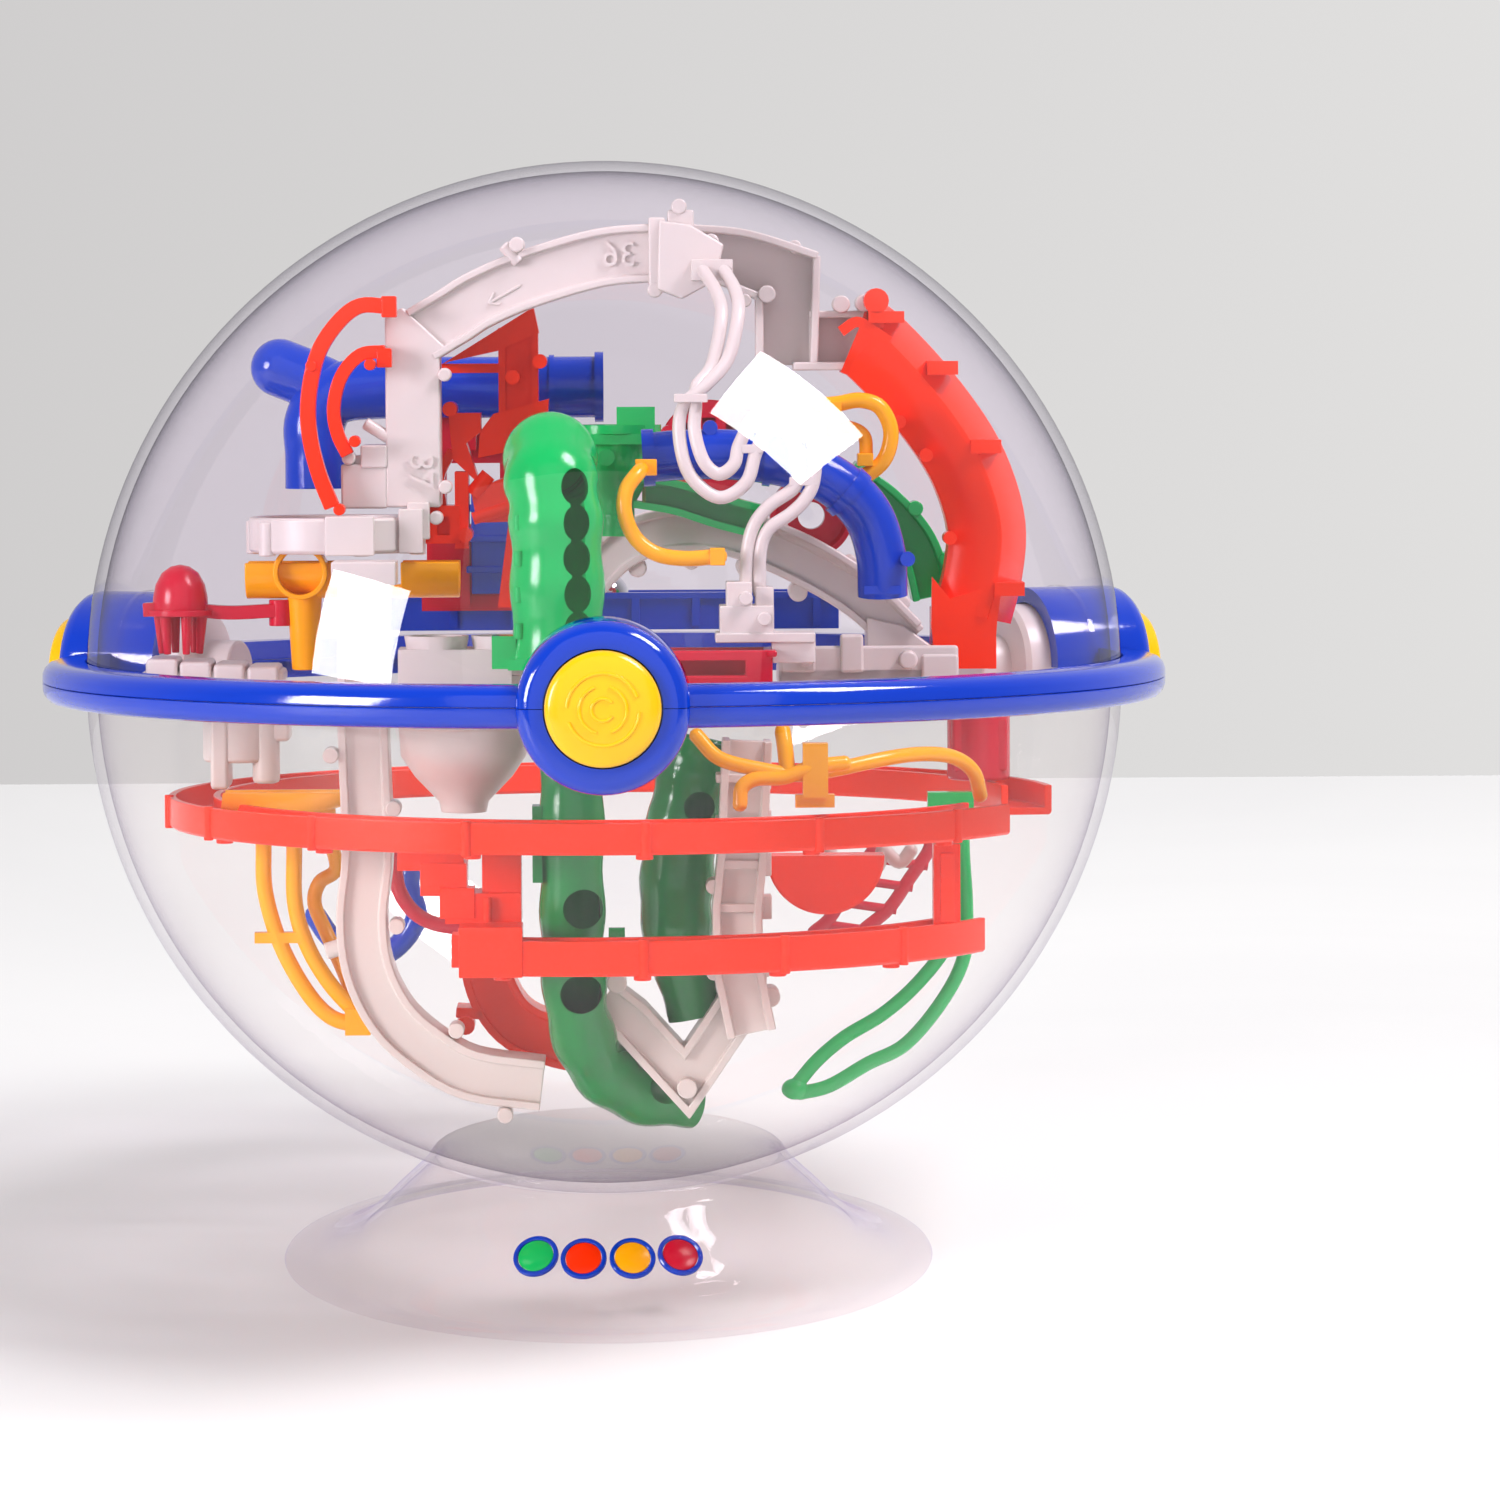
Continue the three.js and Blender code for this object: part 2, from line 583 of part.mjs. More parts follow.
piece(maze, 'white_tray', whiteTray(), WHITE);
piece(maze, 'white_deck', whiteDeck(), WHITE);

// ---- Maze, lower half ----
function orangeRing() {
  const track = sector(76, 86, -28, -22.2, -265, 60, 32)
    .subtract(sector(77.4, 84.6, -26.6, -21.6, -266, 61, 32));
  const ribs = [-80, -50, -25, 0, 25, 50].map((a) => {
    const [x, y] = outward(a);
    return bar('z', 1.5, -28, -22.2, [x * 85.9, y * 85.9, 0], 6);
  });
  return join(track, ...ribs);
}

function orangeLowerArc() {
  const track = sector(72.4, 81, -50.5, -44, -18, 62, 10).subtract(sector(73.8, 79.6, -49, -43, -19, 63, 10));
  const leg = box(62, 67.4, -44, -40, -46, -29.4);
  const ribs = [-10, 15, 40].map((a) => {
    const [x, y] = outward(a);
    return bar('z', 1.2, -50.5, -44, [x * 80.8, y * 80.8, 0], 6);
  });
  return join(track, leg, ...ribs);
}

function whitePost() {
  const path = line([[-44, 23], [-44, -10], [-46, -30], [-46, -46], [-40, -60], [-29, -70], [-12, -76.5]]);
  return join(channel(path, 9.6, 11, T, 'right'), ...pegs([[-50, -48], [-33, -60], [-47, -20]], 1.7, -7, 2));
}

function yellowRods() {
  const outer = tube([[-65, 0, -20], [-65, 0, -36], [-61, 0, -50], [-54, 0, -60], [-46, 0, -65]], 1.9, 10, 6);
  const inner = tube([[-57, 0, -20], [-57, 0, -34], [-54, 0, -46], [-50, 0, -56], [-46, 0, -65]], 1.9, 10, 6);
  const spoon = box(-70, -53, -6, 6, -21, -17).subtract(box(-68.4, -54.6, -4.6, 4.6, -19.6, -16));
  return join(outer, inner, spoon);
}

function greenTube() {
  const route = [[-6, -69, -9], [-6, -68, -28], [-6, -62, -46], [-5, -53, -60], [-1, -43, -70],
    [7, -34, -77], [15, -29, -80]];
  let body = tube(route, 6.4, 12, 10, 5.1);
  body = body.subtract(bar('y', 3.4, -80, -66, [-4, 0, -34], 12));
  body = body.subtract(bar('y', 3.4, -78, -58, [-4, 0, -50], 12));
  return join(body, bar('x', 1.6, 0, 2.6, [0, -53, -58], 8));
}

function greenChute() {
  const route = [[15, -43, -9], [12, -43, -20], [10, -42, -32], [14, -41, -44], [18, -40, -54]];
  const body = tube(route, 6, 8, 10, 4.8);
  return body.subtract(bar('y', 3.2, -52, -43, [13, 0, -22], 12));
}

function whiteVee() {
  const path = line([[4.5, -54], [15, -72], [28, -58], [28, -45]]);
  const plate = channel(path, 8, 10, 1.6, 'back');
  return join(plate, ...pegs([[15, -72]], 2, -7, 0));
}

function whitePostRight() {
  const post = box(21, 28.6, -60, -52, -64, -9).subtract(box(22.4, 27.2, -61, -53.5, -62, -11));
  const bars = [-22, -36, -50].map((z) => box(21, 28.6, -60, -52, z, z + 1.6));
  return join(post, ...bars);
}

function greenWireLoop() {
  const outer = tube([[69, 0, -22], [69, 0, -40], [65, 0, -54], [54, 0, -67], [40, 0, -76], [35, 0, -79]], 1.8, 12, 6);
  const inner = tube([[63, 0, -22], [63, 0, -38], [58, 0, -52], [48, 0, -62], [38, 0, -69], [35, 0, -76]], 1.8, 12, 6);
  return join(outer, inner, box(61.5, 70.5, -2, 2, -24, -21), box(32.5, 37.5, -3, 3, -81, -74));
}

function yellowWires() {
  const long = tube([[21, -68, -12], [28, -68, -14], [40, -66, -15], [54, -60, -14], [66, -50, -14],
    [71, -42, -19]], 1.6, 13, 6);
  const hook = tube([[38, -66.5, -15], [30, -69, -17], [24, -70, -18], [22, -70.5, -20.5]], 1.6, 6, 6);
  const stem = box(34, 38, -69, -65, -22, -11);
  return join(long, hook, stem);
}

function crimsonLadder() {
  const left = tube([[60, 0, -33], [52, 0, -44], [46, 0, -52]], 1.7, 4, 6);
  const right = tube([[66, 0, -33], [58, 0, -44], [52, 0, -52]], 1.7, 4, 6);
  const rungs = [[62, -34.5], [55, -44], [49, -52]].map(([x, z]) => box(x - 5, x + 5, -1.4, 1.4, z - 1.4, z + 1.4));
  return join(left, right, ...rungs);
}

function blueHook() {
  return tube([[-38, 0, -33], [-35, 0, -42], [-38, 0, -52], [-46, 0, -58], [-55, 0, -54], [-58, 0, -46]], 2.4, 11, 6);
}

function crimsonWire() {
  return tube([[-43, 0, -31], [-41, 0, -40], [-35, 0, -48], [-26, 0, -51], [-18, 0, -50]], 1.8, 9, 6);
}

function orangeCurl() {
  const path = line([[-24, -46], [-24, -57], [-20, -65], [-12, -70], [-4, -71.5]], 8);
  return channel(path, 8.4, 11, 1.4, 'front');
}

function orangeBracket() {
  let body = box(-34, -14, -66, -54, -44, -29.4);
  body = body.subtract(box(-32.4, -15.6, -67, -55.5, -42.4, -31));
  const shelf = box(-33, -15, -65, -55, -36.4, -35);
  return join(body, shelf);
}

function orangeScoop() {
  const disc = bar('y', 11, -52, -44, [41, 0, -31], 20).subtract(box(25, 57, -54, -42, -31.5, -15));
  return disc.subtract(bar('y', 9.6, -53, -45.6, [41, 0, -31], 20));
}

function whiteHook() {
  return tube([[44, -36, -30], [46, -36, -36], [51, -36, -38], [56, -36, -36], [58, -36, -30]], 1.5, 9, 6);
}

function whiteHopper() {
  return turned([[4, -22], [12, -12], [12, -6], [10.4, -6], [10.4, -11.6], [2.6, -22]].reverse(), 18, true);
}

piece(maze, 'orange_ring_track', orangeRing(), ORANGE, [1.5, 0, 0]);
piece(maze, 'orange_lower_arc', orangeLowerArc(), ORANGE);
piece(maze, 'white_curved_post', whitePost(), WHITE, [0, -43, 0]);
piece(maze, 'yellow_rods', yellowRods(), YELLOW, [0, -28, 0]);
piece(maze, 'green_tube', greenTube(), GREEN);
piece(maze, 'green_chute', greenChute(), GREEN);
piece(maze, 'white_vee_chute', whiteVee(), WHITE, [0, -46, 0]);
piece(maze, 'white_right_post', whitePostRight(), WHITE);
piece(maze, 'green_wire_loop', greenWireLoop(), GREEN, [0, -18, 0]);
piece(maze, 'yellow_wires', yellowWires(), YELLOW);
piece(maze, 'crimson_ladder', crimsonLadder(), CRIMSON, [0, 10, 0]);
piece(maze, 'crimson_block', box(68, 79, 12, 26, -21.8, -8), CRIMSON);
piece(maze, 'blue_hook', blueHook(), BLUE, [0, 30, 0]);
piece(maze, 'crimson_wire', crimsonWire(), CRIMSON, [0, 20, 0]);
piece(maze, 'orange_curl', orangeCurl(), ORANGE, [0, -20, 0]);
piece(maze, 'orange_bracket', orangeBracket(), ORANGE);
piece(maze, 'orange_scoop', orangeScoop(), ORANGE);
piece(maze, 'white_hook', whiteHook(), WHITE);
piece(maze, 'white_hopper', whiteHopper(), WHITE, [-26, -57, 0]);

export default object;
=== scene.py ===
import math

import bmesh
import bpy
from mathutils import Matrix, Vector


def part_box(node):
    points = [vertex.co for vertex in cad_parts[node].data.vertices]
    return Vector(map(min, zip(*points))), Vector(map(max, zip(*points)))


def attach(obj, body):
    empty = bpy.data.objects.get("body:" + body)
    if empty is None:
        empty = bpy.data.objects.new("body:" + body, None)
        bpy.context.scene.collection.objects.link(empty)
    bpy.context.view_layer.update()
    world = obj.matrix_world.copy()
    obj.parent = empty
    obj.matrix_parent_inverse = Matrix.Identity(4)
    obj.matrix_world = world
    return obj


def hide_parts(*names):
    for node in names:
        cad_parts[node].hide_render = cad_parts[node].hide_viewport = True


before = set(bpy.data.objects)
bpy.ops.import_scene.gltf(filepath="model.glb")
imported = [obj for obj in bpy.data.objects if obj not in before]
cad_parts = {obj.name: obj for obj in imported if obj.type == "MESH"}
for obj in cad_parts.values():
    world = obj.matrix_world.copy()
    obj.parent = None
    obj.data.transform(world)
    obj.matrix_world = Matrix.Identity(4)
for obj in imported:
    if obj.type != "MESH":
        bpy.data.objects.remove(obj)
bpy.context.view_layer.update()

# Table top and studio. The puzzle stands on a white table in front of a grey wall, and the
# camera looks slightly down on it from in front.
scene = bpy.context.scene
scene.view_settings.view_transform = "Standard"
foot_low, foot_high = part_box("stand")
AXIS = Vector(((foot_low.x + foot_high.x) / 2, (foot_low.y + foot_high.y) / 2, 0))


def paint(code):
    """The linear colour of an sRGB hex code."""
    parts = [int(code[i : i + 2], 16) / 255 for i in (1, 3, 5)]
    linear = [c / 12.92 if c <= 0.04045 else ((c + 0.055) / 1.055) ** 2.4 for c in parts]
    return (*linear, 1.0)


def add(tree, kind, links=(), **values):
    """Adds a node, sets its sockets and properties, and joins (socket, output) pairs to it."""
    made = tree.nodes.new(kind)
    for key, value in values.items():
        socket = made.inputs.get(key.replace("_", " "))
        if socket is not None and not hasattr(made, key):
            socket.default_value = value
        else:
            setattr(made, key, value)
    for socket, output in links:
        tree.links.new(output, made.inputs[socket])
    return made


# The camera stands 1.2 m in front with a long lens. Its angles are in radians.
pan, dip, roll = 0.0196, 0.1862, -0.0025
look = Vector((math.sin(pan) * math.cos(dip), math.cos(pan) * math.cos(dip), -math.sin(dip)))
level = Vector((math.cos(pan), -math.sin(pan), 0.0))
head = level.cross(look)
right = level * math.cos(roll) + head * math.sin(roll)
above = head * math.cos(roll) - level * math.sin(roll)
lens = bpy.data.cameras.new("camera")
lens.lens, lens.sensor_width = 150.8, 36.0
camera = bpy.data.objects.new("camera", lens)
camera.matrix_world = Matrix.Translation(AXIS + Vector((0.00455, -1.2, 0.32715))) @ Matrix(
    (right, above, -look)
).transposed().to_4x4()
scene.collection.objects.link(camera)
scene.camera = camera

# The wall is the world's colour, lighter to the right, and dimmer behind the camera.
world = bpy.data.worlds.new("studio")
scene.world = world
world.use_nodes = True
sky = world.node_tree
sky.nodes.clear()
where = add(sky, "ShaderNodeTexCoord")
side = add(sky, "ShaderNodeSeparateXYZ", [("Vector", where.outputs["Generated"])])
fade = add(sky, "ShaderNodeMapRange", [("Value", side.outputs["X"])])
fade.inputs["From Min"].default_value = -0.14
fade.inputs["From Max"].default_value = 0.16
wall = add(sky, "ShaderNodeMix", [("Factor", fade.outputs["Result"])], data_type="RGBA")
wall.inputs["A"].default_value = paint("#cdcbcb")
wall.inputs["B"].default_value = paint("#e2e1e0")
ahead = add(sky, "ShaderNodeMapRange", [("Value", side.outputs["Y"])])
ahead.inputs["From Min"].default_value = -0.1
ahead.inputs["From Max"].default_value = 0.75
ahead.inputs["To Min"].default_value = 0.34
wall_light = [("Color", wall.outputs["Result"]), ("Strength", ahead.outputs["Result"])]
glow = add(sky, "ShaderNodeBackground", wall_light)
add(sky, "ShaderNodeOutputWorld", [("Surface", glow.outputs[0])])


def move(bm, matrix):
    """Moves a whole bmesh."""
    bmesh.ops.transform(bm, matrix=matrix, verts=bm.verts)


BACK_EDGE = 0.492  # metres from the globe's axis to where the table meets the wall

table = bmesh.new()
bmesh.ops.create_grid(table, x_segments=1, y_segments=1, size=1.0)
move(table, Matrix.Translation(AXIS + Vector((0, BACK_EDGE - 1, 0))) @ Matrix.Diagonal((2, 1, 1, 1)))
table_mesh = bpy.data.meshes.new("table_top")
table.to_mesh(table_mesh)
top = bpy.data.materials.new("white_laminate")
top.use_nodes = True
grain = top.node_tree
place = add(grain, "ShaderNodeTexCoord")
on_table = [("Vector", place.outputs["Object"])]
cloud = add(grain, "ShaderNodeTexNoise", on_table, Scale=2.6, Detail=9.0, Distortion=1.4)
tint = add(grain, "ShaderNodeMix", [("Factor", cloud.outputs["Fac"])], data_type="RGBA")
tint.inputs["A"].default_value = paint("#dddcde")
tint.inputs["B"].default_value = paint("#f2f1f1")
grain.links.new(tint.outputs["Result"], grain.nodes["Principled BSDF"].inputs["Base Color"])
grain.nodes["Principled BSDF"].inputs["Roughness"].default_value = 0.5
table_mesh.materials.append(top)
table_top = bpy.data.objects.new("table_top", table_mesh)
scene.collection.objects.link(table_top)


def softbox(name, across, upward, middle, width, power):
    """A square lamp: its across and upward edges, the middle of its face, its width and watts."""
    lamp = bpy.data.lights.new(name, "AREA")
    lamp.shape, lamp.size, lamp.energy = "SQUARE", width, power
    x = Vector(across).normalized()
    y = Vector(upward)
    y = (y - x * y.dot(x)).normalized()
    made = bpy.data.objects.new(name, lamp)
    facing = Matrix((x, y, x.cross(y))).transposed().to_4x4()
    made.matrix_world = Matrix.Translation(AXIS + Vector(middle)) @ facing
    scene.collection.objects.link(made)


softbox("softbox_right", (0.446, -0.123, -0.320), (0.165, 0.540, -0.020), (0.806, -0.268, 1.326), 0.56, 23)
softbox("softbox_left", (0.267, -0.409, 0.008), (0.080, 0.110, 0.476), (-1.179, -0.822, 0.500), 0.50, 17.5)
softbox("softbox_front", (1, 0, 0), (0, 0.35, 1), (0.1, -2.2, 1.1), 3.0, 19)

# Clear shells. Two hemispheres moulded in clear styrene, 2 mm thick, close the globe. They meet
# inside the grip ring and have round openings for the boss housings.
# Pieces of the globe are made in mm from its centre: x to the right, y away from the front, z up.
GLOBE = 100.0
WALL = 2.0
LIFT = 15.8
LEAN = math.radians(-7)
MM = Matrix.Diagonal((0.001, 0.001, 0.001, 1))
CENTRE = AXIS + Vector((0, 0, (LIFT + GLOBE) / 1000))
IN_GLOBE = Matrix.Translation(CENTRE) @ Matrix.Rotation(LEAN, 4, "X") @ MM
UPRIGHT = Matrix.Translation(AXIS) @ MM


def clear_plastic(name, middle, edge, haze, haze_colour, gleam=0.041):
    """Polished clear styrene: it lets light straight through, darkens at grazing angles where the
    eye looks along the wall, a painted shade for the shell's dark edge line, mirrors lamps sharply on
    its outer skin, and has a slight milky haze."""
    made = bpy.data.materials.new(name)
    made.use_nodes = True
    tree = made.node_tree
    tree.nodes.clear()
    turned = add(tree, "ShaderNodeLayerWeight", Blend=0.5)
    rim = add(tree, "ShaderNodeMath", [(0, turned.outputs["Facing"])], operation="POWER")
    rim.inputs[1].default_value = 9.0
    # Middle colour to edge colour at grazing angles: painted shade for the dark edge line.
    edge_shade_tint = add(tree, "ShaderNodeMix", [("Factor", rim.outputs[0])], data_type="RGBA")
    edge_shade_tint.inputs["A"].default_value = paint(middle)
    edge_shade_tint.inputs["B"].default_value = paint(edge)
    through = add(tree, "ShaderNodeBsdfTransparent", [("Color", edge_shade_tint.outputs["Result"])])
    milk = add(tree, "ShaderNodeBsdfDiffuse", Color=paint(haze_colour))
    cloudy = add(tree, "ShaderNodeMixShader", [(1, through.outputs[0]), (2, milk.outputs[0])])
    cloudy.inputs[0].default_value = haze
    shine = add(tree, "ShaderNodeBsdfGlossy", Color=(1, 1, 1, 1), Roughness=0.02)
    steep = add(tree, "ShaderNodeMath", [(0, turned.outputs["Facing"])], operation="POWER")
    steep.inputs[1].default_value = 5.0
    mirror = add(tree, "ShaderNodeMapRange", [("Value", steep.outputs[0])])
    mirror.inputs["To Min"].default_value = gleam
    mirror.inputs["To Max"].default_value = 0.5
    spot = add(tree, "ShaderNodeTexCoord")
    reach = add(tree, "ShaderNodeVectorMath", [(0, spot.outputs["Object"])], operation="DISTANCE")
    reach.inputs[1].default_value = CENTRE
    skin = add(tree, "ShaderNodeMapRange", [("Value", reach.outputs["Value"])])
    skin.inputs["From Min"].default_value = (GLOBE - WALL * 0.6) / 1000
    skin.inputs["From Max"].default_value = (GLOBE - WALL * 0.4) / 1000
    skin.inputs["To Min"].default_value = 0.0
    gloss = add(tree, "ShaderNodeMath", [(0, mirror.outputs[0]), (1, skin.outputs[0])], operation="MULTIPLY")
    layers = [(0, gloss.outputs[0]), (1, cloudy.outputs[0]), (2, shine.outputs[0])]
    both = add(tree, "ShaderNodeMixShader", layers)
    add(tree, "ShaderNodeOutputMaterial", [("Surface", both.outputs[0])])
    return made


# The edge colours are painted shade along the shells' edges.
upper_clear = clear_plastic("clear_styrene_upper", "#fefcff", "#746c86", 0.003, "#efe6f2")
lower_clear = clear_plastic("clear_styrene_lower", "#fffefe", "#cfc8d6", 0.006, "#f8f2f5")


def lathe(bm, profile, steps=96):
    """Spins a closed outline of (radius, height) points, in mm, round the upright axis."""
    corners = [bm.verts.new((r, 0, z)) for r, z in profile]
    edges = [bm.edges.new((a, b)) for a, b in zip(corners, corners[1:])]
    if (corners[0].co - corners[-1].co).length > 1e-6 and profile[0][0] > 1e-6:
        edges.append(bm.edges.new((corners[-1], corners[0])))
    bmesh.ops.spin(
        bm, geom=corners + edges, axis=(0, 0, 1), cent=(0, 0, 0), angle=math.tau, steps=steps, use_merge=True
    )
    bmesh.ops.remove_doubles(bm, verts=bm.verts, dist=1e-4)
    bmesh.ops.recalc_face_normals(bm, faces=bm.faces)


def rod_along(bm, start, end, radius, steps=24, tip=None):
    """A round bar from start to end, in mm; tip is its radius at the end."""
    a, b = Vector(start), Vector(end)
    turn = (b - a).to_track_quat("Z", "Y").to_matrix().to_4x4()
    bmesh.ops.create_cone(
        bm,
        cap_ends=True,
        segments=steps,
        radius1=radius,
        radius2=radius if tip is None else tip,
        depth=(b - a).length,
        matrix=Matrix.Translation((a + b) / 2) @ turn,
    )


def outward(degrees, reach):
    """The point that far out from the globe's axis, counted from the front towards the right."""
    a = math.radians(degrees)
    return Vector((math.sin(a) * reach, -math.cos(a) * reach, 0))


def solid_of(bm, name="tool"):
    """The object that a bmesh makes, in mm."""
    mesh = bpy.data.meshes.new(name)
    bm.to_mesh(mesh)
    bm.free()
    made = bpy.data.objects.new(name, mesh)
    scene.collection.objects.link(made)
    return made


def combine(made, tools, how="DIFFERENCE", crossed=False):
    """Cuts the tools from made, or joins them to it, and removes them. Crossed allows for a piece
    made of blocks that run into each other."""
    for tool in tools:
        step = made.modifiers.new("cut", "BOOLEAN")
        step.operation, step.solver, step.object = how, "EXACT", tool
        step.use_self = crossed
    bpy.context.view_layer.update()
    shaped = bpy.data.meshes.new_from_object(made.evaluated_get(bpy.context.evaluated_depsgraph_get()))
    made.modifiers.clear()
    old = made.data
    made.data = shaped
    bpy.data.meshes.remove(old)
    for tool in tools:
        mesh = tool.data
        bpy.data.objects.remove(tool)
        bpy.data.meshes.remove(mesh)


def finish_piece(made, name, material, slot, nodes, body="globe", place=IN_GLOBE, edge=0.3, smooth=35):
    """Places a piece in the row, softens its edges by that many mm, and hangs it on its body."""
    mesh = made.data
    mesh.transform(place)
    made.name = mesh.name = name
    mesh.materials.clear()
    mesh.materials.append(material)
    mesh.shade_smooth()
    mesh.set_sharp_from_angle(angle=math.radians(smooth))
    if edge:
        soft = made.modifiers.new("edges", "BEVEL")
        soft.width, soft.segments, soft.limit_method = edge / 1000, 2, "ANGLE"
        soft.angle_limit = math.radians(smooth)
        soft.harden_normals = True
    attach(made, body)
    if nodes:
        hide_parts(*nodes)


FIT = 0.3
BOSS = 15.5
BOSS_TURNS = {"front": 0, "right": 112, "left": -112}
SEAM = 0.15  # half the gap between the shells
CROWN = 0.9945  # the upper shell is very slightly flatter than a sphere
for where_shell, sign, clear in (("upper", 1, upper_clear), ("lower", -1, lower_clear)):
    shell = bmesh.new()
    lowest = math.degrees(math.asin(SEAM / GLOBE))
    angles = [lowest + (90 - lowest) * i / 40 for i in range(41)]
    outer = [(GLOBE * math.cos(math.radians(a)), GLOBE * math.sin(math.radians(a))) for a in angles]
    inner = [(r * (GLOBE - WALL) / GLOBE, max(z * (GLOBE - WALL) / GLOBE, SEAM)) for r, z in outer]
    outer[-1], inner[-1] = (0, GLOBE), (0, GLOBE - WALL)
    rise = CROWN if sign > 0 else -1
    rim = [(r, z * rise) for r, z in reversed(outer)] + [(r, z * rise) for r, z in inner]
    corners = [shell.verts.new((r, 0, z)) for r, z in rim]
    edges = [shell.edges.new(pair) for pair in zip(corners, corners[1:])]
    bmesh.ops.spin(
        shell, geom=corners + edges, axis=(0, 0, 1), cent=(0, 0, 0), angle=math.tau, steps=128, use_merge=True
    )
    bmesh.ops.remove_doubles(shell, verts=shell.verts, dist=1e-4)
    bmesh.ops.recalc_face_normals(shell, faces=shell.faces)
    half = solid_of(shell)
    holes = []
    for turn in BOSS_TURNS.values() if sign > 0 else (0,):
        hole = bmesh.new()
        rod_along(hole, outward(turn, 60), outward(turn, 120), BOSS + FIT, 64)
        holes.append(solid_of(hole))
    combine(half, holes)
    node = f"{where_shell}_shell"
    finish_piece(half, f"{where_shell}_globe_shell", clear, "clear_shell", [node], edge=0, smooth=50)

# Stand. A flared cone vacuum-formed from clear sheet, slightly milky, with a thin foot and a
# rolled neck that the globe rests in.
NECK = 34
neck_top = LIFT + GLOBE - math.sqrt(GLOBE**2 - NECK**2) - FIT
# Its lilac edge colour is painted shade along the sheet's edges.
stand_clear = clear_plastic("clear_sheet_stand", "#fffdfd", "#cfc4ee", 0.04, "#fffafa", gleam=0.012)


def smooth_line(points, steps=6):
    """A smooth run of points through the ones given."""
    given = [Vector(p) for p in points]
    ends = [given[0] * 2 - given[1], *given, given[-1] * 2 - given[-2]]
    run = []
    for a, b, c, d in zip(ends, ends[1:], ends[2:], ends[3:]):
        for i in range(steps):
            t = i / steps
            run.append(
                b
                + (c - a) * (t / 2)
                + (a * 2 - b * 5 + c * 4 - d) * (t * t / 2)
                + (b * 3 - a - c * 3 + d) * (t**3 / 2)
            )
    return run + [given[-1]]


cone = [(62.4, 0, 1.2), (57, 0, 2.1), (49.3, 0, 6.2), (41.5, 0, 13.6), (36.4, 0, 18.6)]
sheet = [(p.x, p.z) for p in smooth_line([*cone, (NECK + 0.9, 0, neck_top - 0.6)], 8)]
inside = [(r - 1.2, z - (1.15 if r > 50 else 0.5)) for r, z in sheet]
inside[0] = (61.6, 0.05)
foot = [(63.6, 0.05), (63.8, 0.5), (63.5, 1.0)]
lip = [(NECK + 0.4, neck_top - 0.1), (NECK - 0.2, neck_top - 0.4)]
stand_shape = bmesh.new()
lathe(stand_shape, [*foot, *sheet, *lip, *reversed(inside)], 128)
stand = solid_of(stand_shape)
finish_piece(stand, "flared_stand", stand_clear, "clear_stand", ["stand"], body="stand", place=UPRIGHT,
    edge=0)

# Grip ring. Two glossy blue halves meet on a fine parting line and clamp the shells. Three round
# bosses stand on it: the front one is a full disc, the side ones stop level with its underside.
RING_OUT, RING_HALF = 108.4, 3.85
PARTING = 0.06
BOSS_FACE = 111.5
CAP, CAP_SEAT = 10.35, 103.5


def moulded(name, colour, roughness, shine=0.5, glow=0.0, speckle=0.05):
    """Injection-moulded ABS: even colour right through, faint flow clouds in it, a fine texture
    from the mould in the gloss, and a little light that soaks in at the surface."""
    made = bpy.data.materials.new(name)
    made.use_nodes = True
    tree = made.node_tree
    body = tree.nodes["Principled BSDF"]
    at = add(tree, "ShaderNodeTexCoord")
    flow = add(tree, "ShaderNodeTexNoise", [("Vector", at.outputs["Object"])], Scale=38.0, Detail=3.0)
    shade = add(tree, "ShaderNodeMix", [("Factor", flow.outputs["Fac"])], data_type="RGBA")
    base = paint(colour)
    shade.inputs["A"].default_value = (*[c * (1 - speckle) for c in base[:3]], 1)
    shade.inputs["B"].default_value = (*[min(1, c * (1 + speckle)) for c in base[:3]], 1)
    tree.links.new(shade.outputs["Result"], body.inputs["Base Color"])
    texture = add(tree, "ShaderNodeTexNoise", [("Vector", at.outputs["Object"])], Scale=1400.0, Detail=2.0)
    gloss = add(tree, "ShaderNodeMapRange", [("Value", texture.outputs["Fac"])])
    gloss.inputs["To Min"].default_value = roughness * 0.85
    gloss.inputs["To Max"].default_value = roughness * 1.15
    tree.links.new(gloss.outputs["Result"], body.inputs["Roughness"])
    relief = add(tree, "ShaderNodeBump", [("Height", texture.outputs["Fac"])], Strength=0.05, Distance=0.0002)
    tree.links.new(relief.outputs["Normal"], body.inputs["Normal"])
    body.inputs["IOR"].default_value = 1.53
    body.inputs["Specular IOR Level"].default_value = shine
    if glow:
        body.inputs["Subsurface Weight"].default_value = glow
        body.inputs["Subsurface Radius"].default_value = (1.0, 0.5, 0.4)
        body.inputs["Subsurface Scale"].default_value = 0.002
    return made


ring_blue = moulded("blue_abs_polished", "#0034b4", 0.1, shine=0.6, speckle=0.02)


def slab(bm, x0, x1, y0, y1, z0, z1):
    """A rectangular block between those faces, in mm."""
    bmesh.ops.create_cube(
        bm,
        size=1,
        matrix=Matrix.Translation(((x0 + x1) / 2, (y0 + y1) / 2, (z0 + z1) / 2))
        @ Matrix.Diagonal((x1 - x0, y1 - y0, z1 - z0, 1)),
    )


def tool_block(x0, x1, y0, y1, z0, z1):
    """A block to cut with."""
    bm = bmesh.new()
    slab(bm, x0, x1, y0, y1, z0, z1)
    return solid_of(bm)


def between(low, high):
    """A wide block that keeps what lies between two heights."""
    return tool_block(-200, 200, -200, 200, low, high)


def aim(degrees):
    """Turns a shape made along +Z so that it points out of the globe at that angle."""
    way = outward(degrees, 1)
    return Matrix((Vector((0, 0, 1)).cross(way), Vector((0, 0, 1)), way)).transposed().to_4x4()


